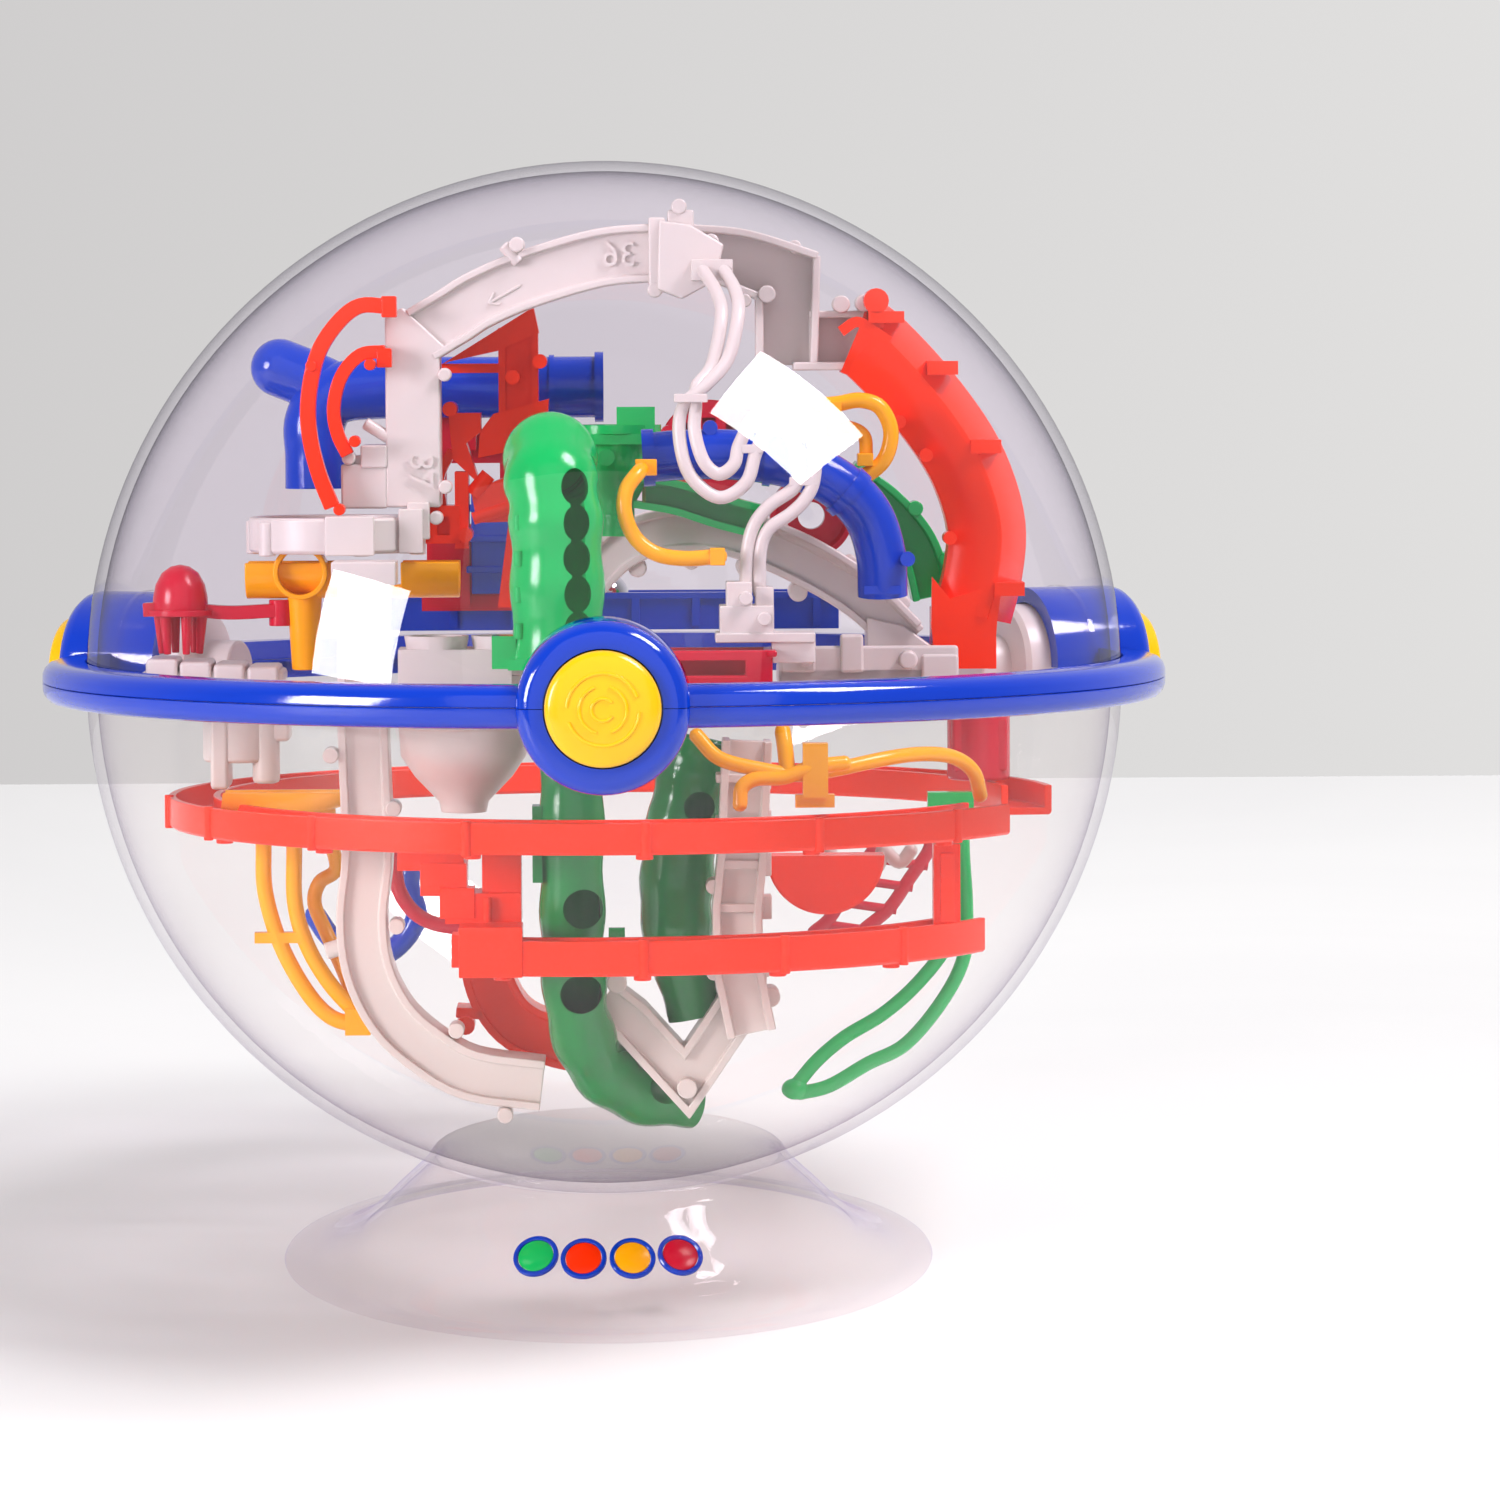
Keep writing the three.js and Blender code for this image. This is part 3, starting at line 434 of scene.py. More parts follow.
for where_ring, sign in (("upper", 1), ("lower", -1)):
    band = bmesh.new()
    face = [(GLOBE + FIT, PARTING), (RING_OUT - 0.15, PARTING), (RING_OUT, 0.2), (RING_OUT - 0.05, 1.5)]
    face += [(RING_OUT - 0.45, 2.6), (RING_OUT - 1.3, 3.45), (RING_OUT - 2.6, RING_HALF)]
    face += [(GLOBE + FIT, RING_HALF)]
    lathe(band, [(r, z * sign) for r, z in face], 160)
    ring_half = solid_of(band)
    bosses, cutters = [], []
    for where, turn in BOSS_TURNS.items():
        low = -BOSS - 1 if where == "front" else -RING_HALF
        passes_shell = where == "front" or sign > 0
        inner_end = GLOBE - 10 if passes_shell else GLOBE + FIT
        drum = bmesh.new()
        lathe(
            drum,
            [
                (0, inner_end),
                (BOSS, inner_end),
                (BOSS, BOSS_FACE - 3.2),
                (BOSS - 0.35, BOSS_FACE - 1.7),
                (BOSS - 1.2, BOSS_FACE - 0.6),
                (BOSS - 2.4, BOSS_FACE),
                (0, BOSS_FACE),
            ],
            72,
        )
        move(drum, aim(turn))
        drum = solid_of(drum)
        heights = (PARTING, 60) if sign > 0 else (low, -PARTING)
        combine(drum, [between(*heights)], "INTERSECT")
        bosses.append(drum)
        pocket = bmesh.new()
        rod_along(pocket, outward(turn, CAP_SEAT), outward(turn, 130), CAP + FIT, 64)
        pocket = solid_of(pocket)
        if where != "front":
            combine(pocket, [between(low + 1.2, 60)], "INTERSECT")
        cutters.append(pocket)
        if passes_shell:
            well = bmesh.new()
            rod_along(well, outward(turn, 80), outward(turn, GLOBE - WALL), BOSS - 3, 48)
            cutters.append(solid_of(well))
    combine(ring_half, bosses, "UNION")
    combine(ring_half, cutters)
    node = f"grip_ring_{where_ring}"
    finish_piece(ring_half, f"{where_ring}_grip_ring", ring_blue, "ring_blue", [node], edge=0.25, smooth=32)

# Boss caps. Glossy yellow domed plugs pressed into the bosses. A plain round maze of raised
# ridges is moulded on the front one.
cap_yellow = moulded("yellow_abs_polished", "#f2b800", 0.2, speckle=0.02)


def absorb(bm, part):
    """Adds a finished part to a piece, and removes the part."""
    mesh = bpy.data.meshes.new("part")
    part.to_mesh(mesh)
    part.free()
    bm.from_mesh(mesh)
    bpy.data.meshes.remove(mesh)


for where, turn in BOSS_TURNS.items():
    plug = bmesh.new()
    rise = 1.9 if where == "front" else 4.2
    dome = 1.1 if where == "front" else 2.3
    lathe(
        plug,
        [
            (0, CAP_SEAT + 0.3),
            (CAP, CAP_SEAT + 0.3),
            (CAP, BOSS_FACE + rise - 1.1),
            (CAP - 0.3, BOSS_FACE + rise - 0.4),
            (CAP - 1.0, BOSS_FACE + rise),
            (CAP * 0.72, BOSS_FACE + rise + dome * 0.45),
            (CAP * 0.45, BOSS_FACE + rise + dome * 0.8),
            (CAP * 0.2, BOSS_FACE + rise + dome * 0.96),
            (0, BOSS_FACE + rise + dome),
        ],
        72,
    )
    if where == "front":
        for reach, openings in ((6.4, (20, 200)), (4.2, (110, 290)), (2.0, (40,))):
            for start in openings:
                ridge = bmesh.new()
                crown = BOSS_FACE + rise + dome * (1 - (reach / CAP) ** 2)
                bmesh.ops.create_circle(
                    ridge,
                    segments=8,
                    radius=0.32,
                    cap_ends=True,
                    matrix=Matrix.Rotation(math.radians(start), 4, "Z")
                    @ Matrix.Translation((reach, 0, crown))
                    @ Matrix.Rotation(math.pi / 2, 4, "X"),
                )
                sweep = math.radians(360 / len(openings) - 38 / (reach / 4))
                bmesh.ops.spin(ridge, geom=ridge.faces[:], axis=(0, 0, 1), cent=(0, 0, 0), angle=sweep,
                    steps=24)
                bmesh.ops.recalc_face_normals(ridge, faces=ridge.faces)
                absorb(plug, ridge)
    move(plug, aim(turn))
    plug = solid_of(plug)
    if where != "front":
        combine(plug, [between(-RING_HALF + 1.5, 60)], "INTERSECT")
    finish_piece(plug, f"{where}_boss_cap", cap_yellow, "cap_yellow", [f"cap_{where}"], edge=0, smooth=40)

# Hubs. Satin white ABS cups behind each boss, with a spigot that carries the maze. The plastic lets
# a little light soak in.
white_abs = moulded("white_abs_satin", "#d8ccc8", 0.32, glow=0.08, speckle=0.015)
for where, turn in BOSS_TURNS.items():
    cup = bmesh.new()
    spigot = [(0, 78), (5.6, 78), (6, 78.4), (6, 84.4)]
    lathe(cup, [*spigot, (11.4, 85), (12.2, 86), (12.2, 95), (9.6, 95), (9.2, 88), (0, 88)], 48)
    move(cup, aim(turn))
    cup = solid_of(cup)
    if where != "front":
        combine(cup, [between(-RING_HALF, 60)], "INTERSECT")
    finish_piece(cup, f"{where}_hub", white_abs, "white", [f"hub_{where}"], edge=0.25)

# Steel ball. A 9.5 mm bearing ball, polished to a mirror, which lies loose in the long blue lane
# and rolls along it.
steel = moulded("polished_bearing_steel", "#cfd2d6", 0.08, speckle=0.01)
steel.node_tree.nodes["Principled BSDF"].inputs["Metallic"].default_value = 1.0
ball_low, ball_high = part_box("steel_ball")
ball = bmesh.new()
ball_place = Matrix.Translation((ball_low + ball_high) / 2 * 1000)
bmesh.ops.create_icosphere(ball, subdivisions=4, radius=9.5 / 2, matrix=ball_place)
ball = solid_of(ball)
finish_piece(ball, "bearing_ball", steel, "steel", ["steel_ball"], body="ball", place=MM, edge=0, smooth=180)

# Maze tracks. Channels moulded in coloured ABS carry the ball round the globe. Each has a floor
# set back between two side walls, so its edges read as fine raised lips.
def grow(bm, edges):
    """Extrudes a run of edges, and gives the new vertices and the edges between them."""
    made = bmesh.ops.extrude_edge_only(bm, edges=edges)["geom"]
    fresh = {g for g in made if isinstance(g, bmesh.types.BMVert)}
    return list(fresh), [g for g in made if isinstance(g, bmesh.types.BMEdge) and set(g.verts) <= fresh]


def pull(bm, section, stations, capped=True):
    """Draws a closed (u, v) section through the stations, which place it along its route."""
    corners = [bm.verts.new(stations[0] @ Vector((u, v, 0))) for u, v in section]
    first = [bm.edges.new(pair) for pair in zip(corners, corners[1:] + corners[:1])]
    edges = first
    for before, after in zip(stations, stations[1:]):
        fresh, edges = grow(bm, edges)
        bmesh.ops.transform(bm, matrix=after @ before.inverted(), verts=fresh)
    if capped:
        bmesh.ops.contextual_create(bm, geom=first)
        bmesh.ops.contextual_create(bm, geom=edges)
    return first, edges


def track(bm, section, route, y):
    """A track that stays in one upright plane at depth y; its route is (x, z) points."""
    run = [Vector((p[0], p[-1])) for p in route]
    last = len(run) - 1
    stations = []
    for i, here in enumerate(run):
        a = (run[max(i, 1)] - run[max(i, 1) - 1]).normalized()
        b = (run[min(i + 1, last)] - run[min(i, last - 1)]).normalized()
        mean = (a + b).normalized()
        wide = 1 / max(mean.dot(a), 0.6)
        rows = ((-mean.y * wide, 0, mean.x, here.x), (0, 1, 0, y), (mean.x * wide, 0, mean.y, here.y),
            (0, 0, 0, 1))
        stations.append(Matrix(rows))
    return pull(bm, section, stations)


def bow(points, steps=5):
    """A smooth (x, z) route."""
    return [(p.x, p.z) for p in smooth_line([(x, 0, z) for x, z in points], steps)]


def channel(high, deep, wall=1.5, recess=1.5, open_side="back"):
    """Side walls with a floor between them, set back by recess. open_side is back or front."""
    h, d, w, r = high / 2, deep / 2, wall, recess
    shape = [
        (-h, -d), (-h + w, -d), (-h + w, r - d), (h - w, r - d), (h - w, -d), (h, -d),
        (h, d), (h - w, d), (h - w, r + w - d), (-h + w, r + w - d), (-h + w, d), (-h, d),
    ]
    if open_side == "front":
        shape = [(u, -v) for u, v in shape]
    return shape


def bar(high, deep):
    """A plain flat section."""
    return [(-high / 2, -deep / 2), (high / 2, -deep / 2), (high / 2, deep / 2), (-high / 2, deep / 2)]


def carry(points):
    """Stations along a space curve, without twist."""
    tangents = [(b - a).normalized() for a, b in zip(points, points[1:])]
    tangents = [tangents[0]] + [(a + b).normalized() for a, b in zip(tangents, tangents[1:])] + [tangents[-1]]
    side = tangents[0].orthogonal().normalized()
    stations = []
    before = tangents[0]
    for here, along in zip(points, tangents):
        side.rotate(before.rotation_difference(along))
        side = (side - along * side.dot(along)).normalized()
        before = along
        stations.append(Matrix((side, along.cross(side), along)).transposed().to_4x4())
        stations[-1].translation = here
    return stations


def round_section(radius, sides=20):
    """A circle with that many sides."""
    turns = [math.tau * i / sides for i in range(sides)]
    return [(radius * math.cos(a), radius * math.sin(a)) for a in turns]


def rod(bm, points, radius, steps=6, sides=14):
    """A round moulded wire along a smooth run through the points, with round ends."""
    run = smooth_line(points, steps)
    pull(bm, round_section(radius, sides), carry(run))
    for end in (run[0], run[-1]):
        bmesh.ops.create_icosphere(bm, subdivisions=2, radius=radius * 1.02, matrix=Matrix.Translation(end))


def pipe(bm, points, radius, bore, steps=6, sides=28, waist=None):
    """A hollow tube along the points; waist gives its radius as a share at each step."""
    stations = carry(smooth_line(points, steps))
    if waist:
        shares = [waist(i / (len(stations) - 1)) for i in range(len(stations))]
        stations = [m @ Matrix.Diagonal((share, share, 1, 1)) for m, share in zip(stations, shares)]
    first, edges = pull(bm, round_section(radius, sides), stations, capped=False)
    fresh, edges = grow(bm, edges)
    end = stations[-1]
    shrink = Matrix.Diagonal((bore / radius, bore / radius, 1, 1))
    bmesh.ops.transform(bm, matrix=end @ shrink @ end.inverted(), verts=fresh)
    back = stations[::-1]
    for before, after in zip(back, back[1:]):
        fresh, edges = grow(bm, edges)
        bmesh.ops.transform(bm, matrix=after @ before.inverted(), verts=fresh)
    bmesh.ops.bridge_loops(bm, edges=first + edges)


def plate(bm, outline, y0, y1):
    """A flat plate between depths y0 and y1 with the given (x, z) outline."""
    face = bm.faces.new([bm.verts.new((x, y0, z)) for x, z in outline])
    made = bmesh.ops.extrude_face_region(bm, geom=[face])["geom"]
    moved = [g for g in made if isinstance(g, bmesh.types.BMVert)]
    bmesh.ops.translate(bm, vec=(0, y1 - y0, 0), verts=moved)


def emboss(bm, text, size, placing):
    """Raised plain numerals, half a mm proud, laid out by the placing matrix."""
    curve = bpy.data.curves.new("numeral", "FONT")
    curve.body, curve.size, curve.extrude = text, size, 0.5
    curve.align_x, curve.align_y = "CENTER", "CENTER"
    holder = bpy.data.objects.new("numeral", curve)
    scene.collection.objects.link(holder)
    bpy.context.view_layer.update()
    mesh = bpy.data.meshes.new_from_object(holder.evaluated_get(bpy.context.evaluated_depsgraph_get()))
    mesh.transform(placing @ Matrix.Rotation(math.radians(90), 4, "X"))
    bm.from_mesh(mesh)
    bpy.data.objects.remove(holder)
    bpy.data.curves.remove(curve)
    bpy.data.meshes.remove(mesh)


def pegs(bm, places, radius, y0, y1):
    """Locating pegs moulded across a track at (x, z) places."""
    for x, z in places:
        rod_along(bm, (x, y0, z), (x, y1, z), radius, 16)


def maze_piece(bm, name, plastic, node, edge=0.28, smooth=35, cuts=()):
    """Cuts a maze piece's openings and finishes it."""
    bmesh.ops.recalc_face_normals(bm, faces=bm.faces)
    made = solid_of(bm)
    if cuts:
        combine(made, cuts, crossed=True)
    colour = plastic.name.split("_")[0]
    finish_piece(made, name, plastic, colour, [node] if node else [], edge=edge, smooth=smooth)


def hole(start, end, radius):
    """A round bar to cut with."""
    bm = bmesh.new()
    rod_along(bm, start, end, radius, 32)
    return solid_of(bm)


# Five ABS colours, with the green twice: once darker as painted shade. Orange, crimson and yellow come
# from a satin mould and look almost flat; the greens and the blue come from a polished one, so lamps show on
# them.
orange_abs = moulded("orange_abs_semi_gloss", "#ff2e00", 0.22, shine=0.2)
green_abs = moulded("green_abs_semi_gloss", "#00b658", 0.18, shine=0.4)
# The same green plastic painted darker: painted shade for the lower tubes, which get less light and show
# their dark insides.
painted_shade_green = moulded("green_abs_tube", "#04803a", 0.16, shine=0.4)
crimson_abs = moulded("crimson_abs_semi_gloss", "#c80c2e", 0.22, shine=0.35)
blue_abs = moulded("blue_abs_semi_gloss", "#0037b4", 0.14, shine=0.4)
yellow_abs = moulded("yellow_abs_semi_gloss", "#ffa800", 0.22, shine=0.35)

# White arch. The highest track: an upright leg, a long arch over the maze, and a square junction
# block that feeds the wire rails. The arch keeps two raised lips; the leg's face is flat.
arch = bmesh.new()
plate(arch, [(-41, 33.6), (-30.7, 33.6), (-30.7, 62.4), (-28.6, 62.9), (-37.7, 71.3),
    (-41, 69.6)], -28.2, -16)
arch_line = bow([(-34.4, 66), (-28, 69.8), (-23.3, 72.7), (-14.6, 76.4), (-0.3, 80.5), (12, 81.5)])
track(arch, channel(11, 12.8), arch_line, -22)
slab(arch, -49.5, -40.8, -28.2, -17, 33.4, 41.8)
slab(arch, -45.8, -40.8, -28.6, -17, 41, 45.4)
slab(arch, -47.2, -42.6, -27, -17, 41.4, 43.4)
plate(arch, [(10.4, 74.4), (15.1, 72.6), (21.4, 76), (23, 82.8), (16.6, 86.6), (10.8, 87.4)], -31, -19.5)
slab(arch, 12.4, 17.4, -29.5, -21, 85, 89.4)
slab(arch, 8.8, 12, -29.8, -20, 75.2, 88)
pegs(arch, [(-29.8, 58.6), (-29.8, 37.4), (-48, 43), (-31.6, 31.6)], 1.3, -29.6, -24)
pegs(arch, [(-16, 83), (14.6, 90), (10, 74.4), (20.6, 83.4)], 1.5, -30, -22)
rod_along(arch, (-15.6, -27.6, 79.6), (-18.6, -27.6, 83), 1.2, 16)
rod_along(arch, (-40.2, -27, 46.6), (-45, -27, 49.6), 1.2, 16)
maze_piece(arch, "arch_track", white_abs, "white_arch_track", edge=0.45)

marks = bmesh.new()
for a, b in (((-15.4, 75.4), (-21.4, 72)), ((-21.4, 72), (-20.4, 74)), ((-21.4, 72), (-19.2, 71.8))):
    rod_along(marks, (a[0], -27, a[1]), (b[0], -27, b[1]), 0.3, 8)
emboss(marks, "36", 6.6, Matrix.Translation((3.2, -27.1, 80.9)) @ Matrix.Rotation(math.pi, 4, "Z"))
emboss(marks, "37", 6.6, Matrix.Translation((-34.6, -28.4, 40.4)) @ Matrix.Rotation(math.pi / 2, 4, "Y"))
maze_piece(marks, "arch_numerals", white_abs, None, edge=0)

# White arm. Flat webs with thin rims carry on from the junction, down to the top of the orange
# arc, with a short open shelf at the end.
arm = bmesh.new()
plate(arm, [(16.8, 86), (28, 85.2), (41.4, 80.8), (40.6, 60), (30, 60), (29.4, 73.4),
    (21.6, 76.4)], -6.4, -4.9)
track(arm, bar(1.5, 10), bow([(16.8, 86.3), (28, 85.1), (41.2, 80.9)]), -9.6)
track(arm, bar(1.5, 9), [(41, 81), (40.4, 60)], -9.2)
track(arm, bar(1.5, 9), [(21.4, 76.6), (29.8, 73.2)], -9.2)
track(arm, bar(1.5, 9), [(30, 73.4), (30, 60)], -9.2)
plate(arm, [(39.6, 70), (52.2, 70), (50.4, 60), (39.6, 60)], -8.4, -7)
slab(arm, 36.4, 52.4, -15.6, -4, 59, 60.6)
slab(arm, 39.6, 52.4, -12, -7, 69, 70.4)
pegs(arm, [(31.4, 73.6), (45.6, 71.6), (50, 71.8)], 1.7, -15, -8)
pegs(arm, [(36.8, 82.6), (27.2, 72.4)], 1.3, -14, -8)
maze_piece(arm, "arm_track", white_abs, "white_arm_track", edge=0.35)

# White wire rails. Twin moulded wires drop from the junction, loop round like a paper clip and
# end in the clamp by the front hub.
wires = bmesh.new()
rod(
    wires,
    [(22.6, -32, 78.5), (24.9, -42, 74), (25.3, -49, 69.4), (23.3, -52, 61.4), (19.2, -55, 56.6),
    (15, -57, 52.8),
     (14.2, -58, 47), (16.1, -59, 40), (21.4, -59, 35.9), (26.4, -59, 38.6), (28.3, -58, 44.2),
     (30.8, -58, 48.2),
     (34.2, -58, 47.6), (36, -58, 43), (35.6, -58, 38), (30.8, -58, 34.4), (27.9, -58, 30.8),
     (26.6, -58, 25.9),
     (26.3, -58, 18.4)],
    1.25,
)
rod(
    wires,
    [(18.6, -32, 78.5), (21.2, -42, 74), (22.2, -49, 69.2), (20.3, -52, 60.2), (17.4, -55, 56.2),
    (17.2, -57, 52.4),
     (17, -58, 48), (18.6, -59, 42.6), (21.4, -59, 40.2), (24.2, -59, 42), (25.3, -58, 45.8),
     (28.8, -58, 51.4),
     (34.6, -58, 51.6), (38.8, -58, 46), (39, -58, 39.4), (37.4, -58, 35.6), (34.6, -58, 32.8),
     (30.6, -58, 30),
     (29, -58, 25.9), (28.8, -58, 18.4)],
    1.25,
)
slab(wires, 13.2, 19.4, -59.4, -57.6, 53.4, 55)
slab(wires, 24.6, 29.4, -59.2, -57.2, 44, 45.6)
slab(wires, 16.8, 24.6, -34, -30.6, 76, 80)
slab(wires, 34.4, 39.6, -59.2, -57.2, 38, 39.6)
maze_piece(wires, "wire_rails", white_abs, "white_wire_rails", edge=0.2, smooth=50)

# Orange arc. A broad track down the right side: a sloping inner panel, a crease, and an outer
# wall that leans back to follow the globe, with tabs across it and a wide foot.
arc = bmesh.new()
arc_section = [
    (-5.8, -4.4), (-4.6, -5.2), (3, -8), (4.2, -7.8), (9.4, 1.6), (9.6, 3.6), (8, 3.6), (3.2, -5.8),
    (-4.4, -3.4),
    (-4.4, 4.6), (-5.8, 4.6),
]
arc_line = bow([(47.6, 64), (50.6, 62.4), (58.2, 54.4), (65.2, 45.2), (69.2, 37.6), (71.6, 28.8),
    (71, 20.4), (69, 12.6)])
track(arc, arc_section, arc_line, -11.5)
plate(arc, [(62.6, 19.6), (66, 15.4), (76, 18.4), (75, 11), (74.4, 2), (63.4, 2), (62.4, 10)], -19, -17)
track(arc, channel(12.2, 12, recess=2.4), [(68.8, 13.4), (68.8, 1.9)], -11.8)
track(arc, bar(2, 5), bow([(45.4, 66.4), (48.4, 68.2), (51.4, 66.6), (54.6, 64.4)]), -17)
for x, z in ((65.6, 59.4), (73.8, 44.4), (78.2, 17.2)):
    slab(arc, x - 3.8, x + 2, -20.4, -12, z - 1.3, z + 1.3)
slab(arc, 50.6, 57.4, -20, -12, 68, 70.2)
pegs(arc, [(52.1, 72.2)], 2.4, -20, -11)
slab(arc, 50.6, 53.6, -18, -12, 67, 72)
pegs(arc, [(61.5, 42.8), (56.4, 49.2), (66, 27)], 1.3, -20, -14)
maze_piece(arc, "arc_track", orange_abs, "orange_arc_track", edge=0.5)

# Orange hoops. Two flat ABS straps, moulded with clips at their ends, lead from the arch down to
# the round platform.
hoops = bmesh.new()
outer_hoop = [(-39.7, 71.4), (-45.4, 71.6), (-49.7, 68.4), (-53.4, 62.7), (-55.2, 55), (-55.2, 48),
    (-53.6, 40.6), (-51, 33.8)]
track(hoops, bar(2.9, 4.6), bow(outer_hoop), -32)
track(hoops, bar(2.5, 4), bow([(-40.8, 63), (-45.5, 62.4), (-49.1, 58.4), (-50.6, 52.6), (-49.9, 47.6),
    (-48, 43.6)]), -31)
slab(hoops, -41.4, -38.6, -34.5, -29, 69.4, 73.4)
slab(hoops, -42.4, -39.6, -33.5, -29, 60, 63.6)
pegs(hoops, [(-54.6, 60.4), (-49.6, 33.4), (-46.6, 46.2), (-43.6, 60.6)], 1.1, -35.6, -30)
maze_piece(hoops, "hoop_rails", orange_abs, "orange_hoop_rails")

# Blue tube at the back. A long level tube in glossy blue ABS, with a beaded mouth, a turned-up
# blind end and a drop.
back_tube = bmesh.new()
pipe(back_tube, [(-1.4, 12, 55.9), (-20, 12, 55.9), (-40, 12, 55.9), (-52, 12, 54.8), (-56.2, 12, 49.6),
    (-56.2, 12, 43),
                 (-56.2, 12, 36.4)], 6, 5, steps=7)
pipe(back_tube, [(0, 12, 55.9), (-0.8, 12, 55.9), (-1.7, 12, 55.9)], 6.9, 5, steps=2)
pipe(back_tube, [(-9.6, 12, 55.9), (-10.1, 12, 55.9), (-10.6, 12, 55.9)], 6.35, 5, steps=2)
pipe(back_tube, [(-50, 13, 54), (-57, 14, 57.4), (-63.4, 15, 60)], 5.7, 5, steps=5)
blind_end = Matrix.Translation((-63.2, 15, 59.9))
bmesh.ops.create_uvsphere(back_tube, u_segments=32, v_segments=16, radius=5.7, matrix=blind_end)
slab(back_tube, -58.2, -54.2, 5.4, 9, 36.6, 42)
maze_piece(back_tube, "back_tube", blue_abs, "blue_tube_back", edge=0, smooth=40)

# Round platform. A dish moulded in white ABS on the left, with a raised rim, lugs round it and
# square blocks beside it.
platform = bmesh.new()
lathe(
    platform,
    [(0, 25), (15.9, 25), (16.5, 25.6), (16.5, 31.4), (16, 31.8), (14.8, 31.8), (14.6, 27), (0, 27)],
    72,
)
for a in (20, 75, 130, 200, 255, 310):
    lug = outward(a, 16.2)
    rod_along(platform, (lug.x, lug.y, 24.6), (lug.x, lug.y, 31), 1.6, 16)
slab(platform, 12.4, 17, -12, -5, 25, 33.4)
slab(platform, 14, 18.2, -10.4, -6.4, 27.6, 34.6)
slab(platform, -1.2, 8, -17.4, -14.6, 24.8, 32.2)
move(platform, Matrix.Translation((-51, -20, 0)))
maze_piece(platform, "round_platform", white_abs, "white_platform")

# Yellow half pipe. An open gutter moulded in yellow ABS under the dish. Its leg is a separate
# moulding, with a round socket at the front and a tapered foot.
gutter = bmesh.new()
pipe(gutter, [(-68, -20, 22.2), (-50, -20, 22.2), (-27.4, -20, 22.2)], 6, 4.9)
maze_piece(gutter, "half_pipe", yellow_abs, "yellow_half_pipe",
    cuts=[tool_block(-72, -24, -30, -10, 23.2, 34), tool_block(-50, -38.5, -30, -10, 14, 34)],
)
leg = bmesh.new()
rod_along(leg, (-57, -20, 2.6), (-57, -20, 18), 2.5, 28, tip=3.4)
pipe(leg, [(-57.4, -28, 21.4), (-57.4, -24, 21.4), (-57.4, -20, 21.4)], 5.2, 4.2, steps=2)
track(leg, bar(2.4, 6), [(-52, 17.6), (-38, 17.6)], -20)
maze_piece(leg, "half_pipe_leg", yellow_abs, None)

# Crimson cage. A small dome on an arm, moulded in one with the tapered prongs that stand over the
# rack.
cage = bmesh.new()
lathe(
    cage,
    [(0, 13.4), (5.1, 13.4), (5.3, 14), (5.2, 16.6), (4.7, 19), (3.5, 21.2), (1.8, 22.4), (0, 22.8)],
    48,
)
for a in range(0, 360, 60):
    foot = outward(a + 20, 4.2)
    rod_along(cage, (foot.x * 0.86, foot.y * 0.86, 5.8), (foot.x, foot.y, 14), 0.7, 12, tip=1.2)
track(cage, bar(2.6, 4), bow([(-7, 14.2), (0, 14.4), (9, 13.6), (19, 14)]), 0)
rod_along(cage, (19, 0, 11), (19, 0, 16), 2.2, 20)
lathe(cage, [(0, 13), (6.4, 13), (6.4, 14.2), (0, 14.2)], 40)
move(cage, Matrix.Translation((-80.6, -20, 0)))
maze_piece(cage, "ball_cage", crimson_abs, "crimson_cage", edge=0.2, smooth=40)

# White rack. Rounded teeth in a row above a round well, moulded in one piece of white ABS with
# its leg.
rack = bmesh.new()
for i, x in enumerate((-87, -80.6, -74.2, -67.8)):
    slab(rack, x, x + 6, -25, -9, 0.4, 5 - i * 0.5)
slab(rack, -88, -61, -24, -8, 0, 2.6)
rod_along(rack, (-70, -17, -15), (-70, -17, 1), 6.8, 40)
slab(rack, -75, -71.6, -24, -10, -20, -2)
rod_along(rack, (-64.6, -20, -19), (-64.6, -20, 0), 2.6, 24)
slab(rack, -70, -60, -22, -12, -11, 0)
maze_piece(rack, "toothed_rack", white_abs, "white_rack", edge=0.8)

# Orange stair. Cups, chutes and square turns that step down the middle, all in bright orange,
# hung on a tall spine.
stair = bmesh.new()
plate(stair, [(-31, 60.4), (-13.2, 71.4), (-12.2, 66.4), (-20.3, 63), (-29.6, 61)], -11, -2.4)
track(stair, channel(7.6, 9.4, 1.3, 1.2), [(-16.2, 67.4), (-16.2, 51)], -6)
slab(stair, -31, -19, -5, 3, 58.8, 60.6)
plate(stair, [(-21, 51), (-10.4, 53.8), (-11, 45.6), (-17, 44), (-24, 42.6), (-23.6, 47.6)], -12, -1)
plate(stair, [(-29.6, 51.2), (-23.4, 51.2), (-23.4, 47.6), (-26.2, 45.4), (-24.2, 39.4), (-23.8, 37.6),
    (-28.8, 42.4)], -13.4, -4)
plate(stair, [(-25.4, 36.2), (-17, 39.6), (-16.4, 33), (-17.2, 30.4), (-24.2, 30.2)], -13, -1)
rod_along(stair, (-25, -13.4, 31), (-16.6, -13.4, 33.6), 1.2, 16)
rod_along(stair, (-25.2, -13, 35.6), (-22, -13, 39.4), 1.5, 16)
plate(stair, [(-17.4, 46), (-10.6, 50.4), (-12.4, 30), (-15.6, 13.6), (-20.6, 13.6), (-18.4, 30)], -4, 2.4)
slab(stair, -37, -27.4, -17, -7, 26.4, 33.6)
slab(stair, -28.4, -25.8, -16, -6, 25.4, 40)
slab(stair, -35.4, -32.6, -17.8, -12, 33, 35.4)
track(stair, bar(1.8, 8), bow([(-29, 44), (-31.4, 39), (-31, 33.4)]), -8)
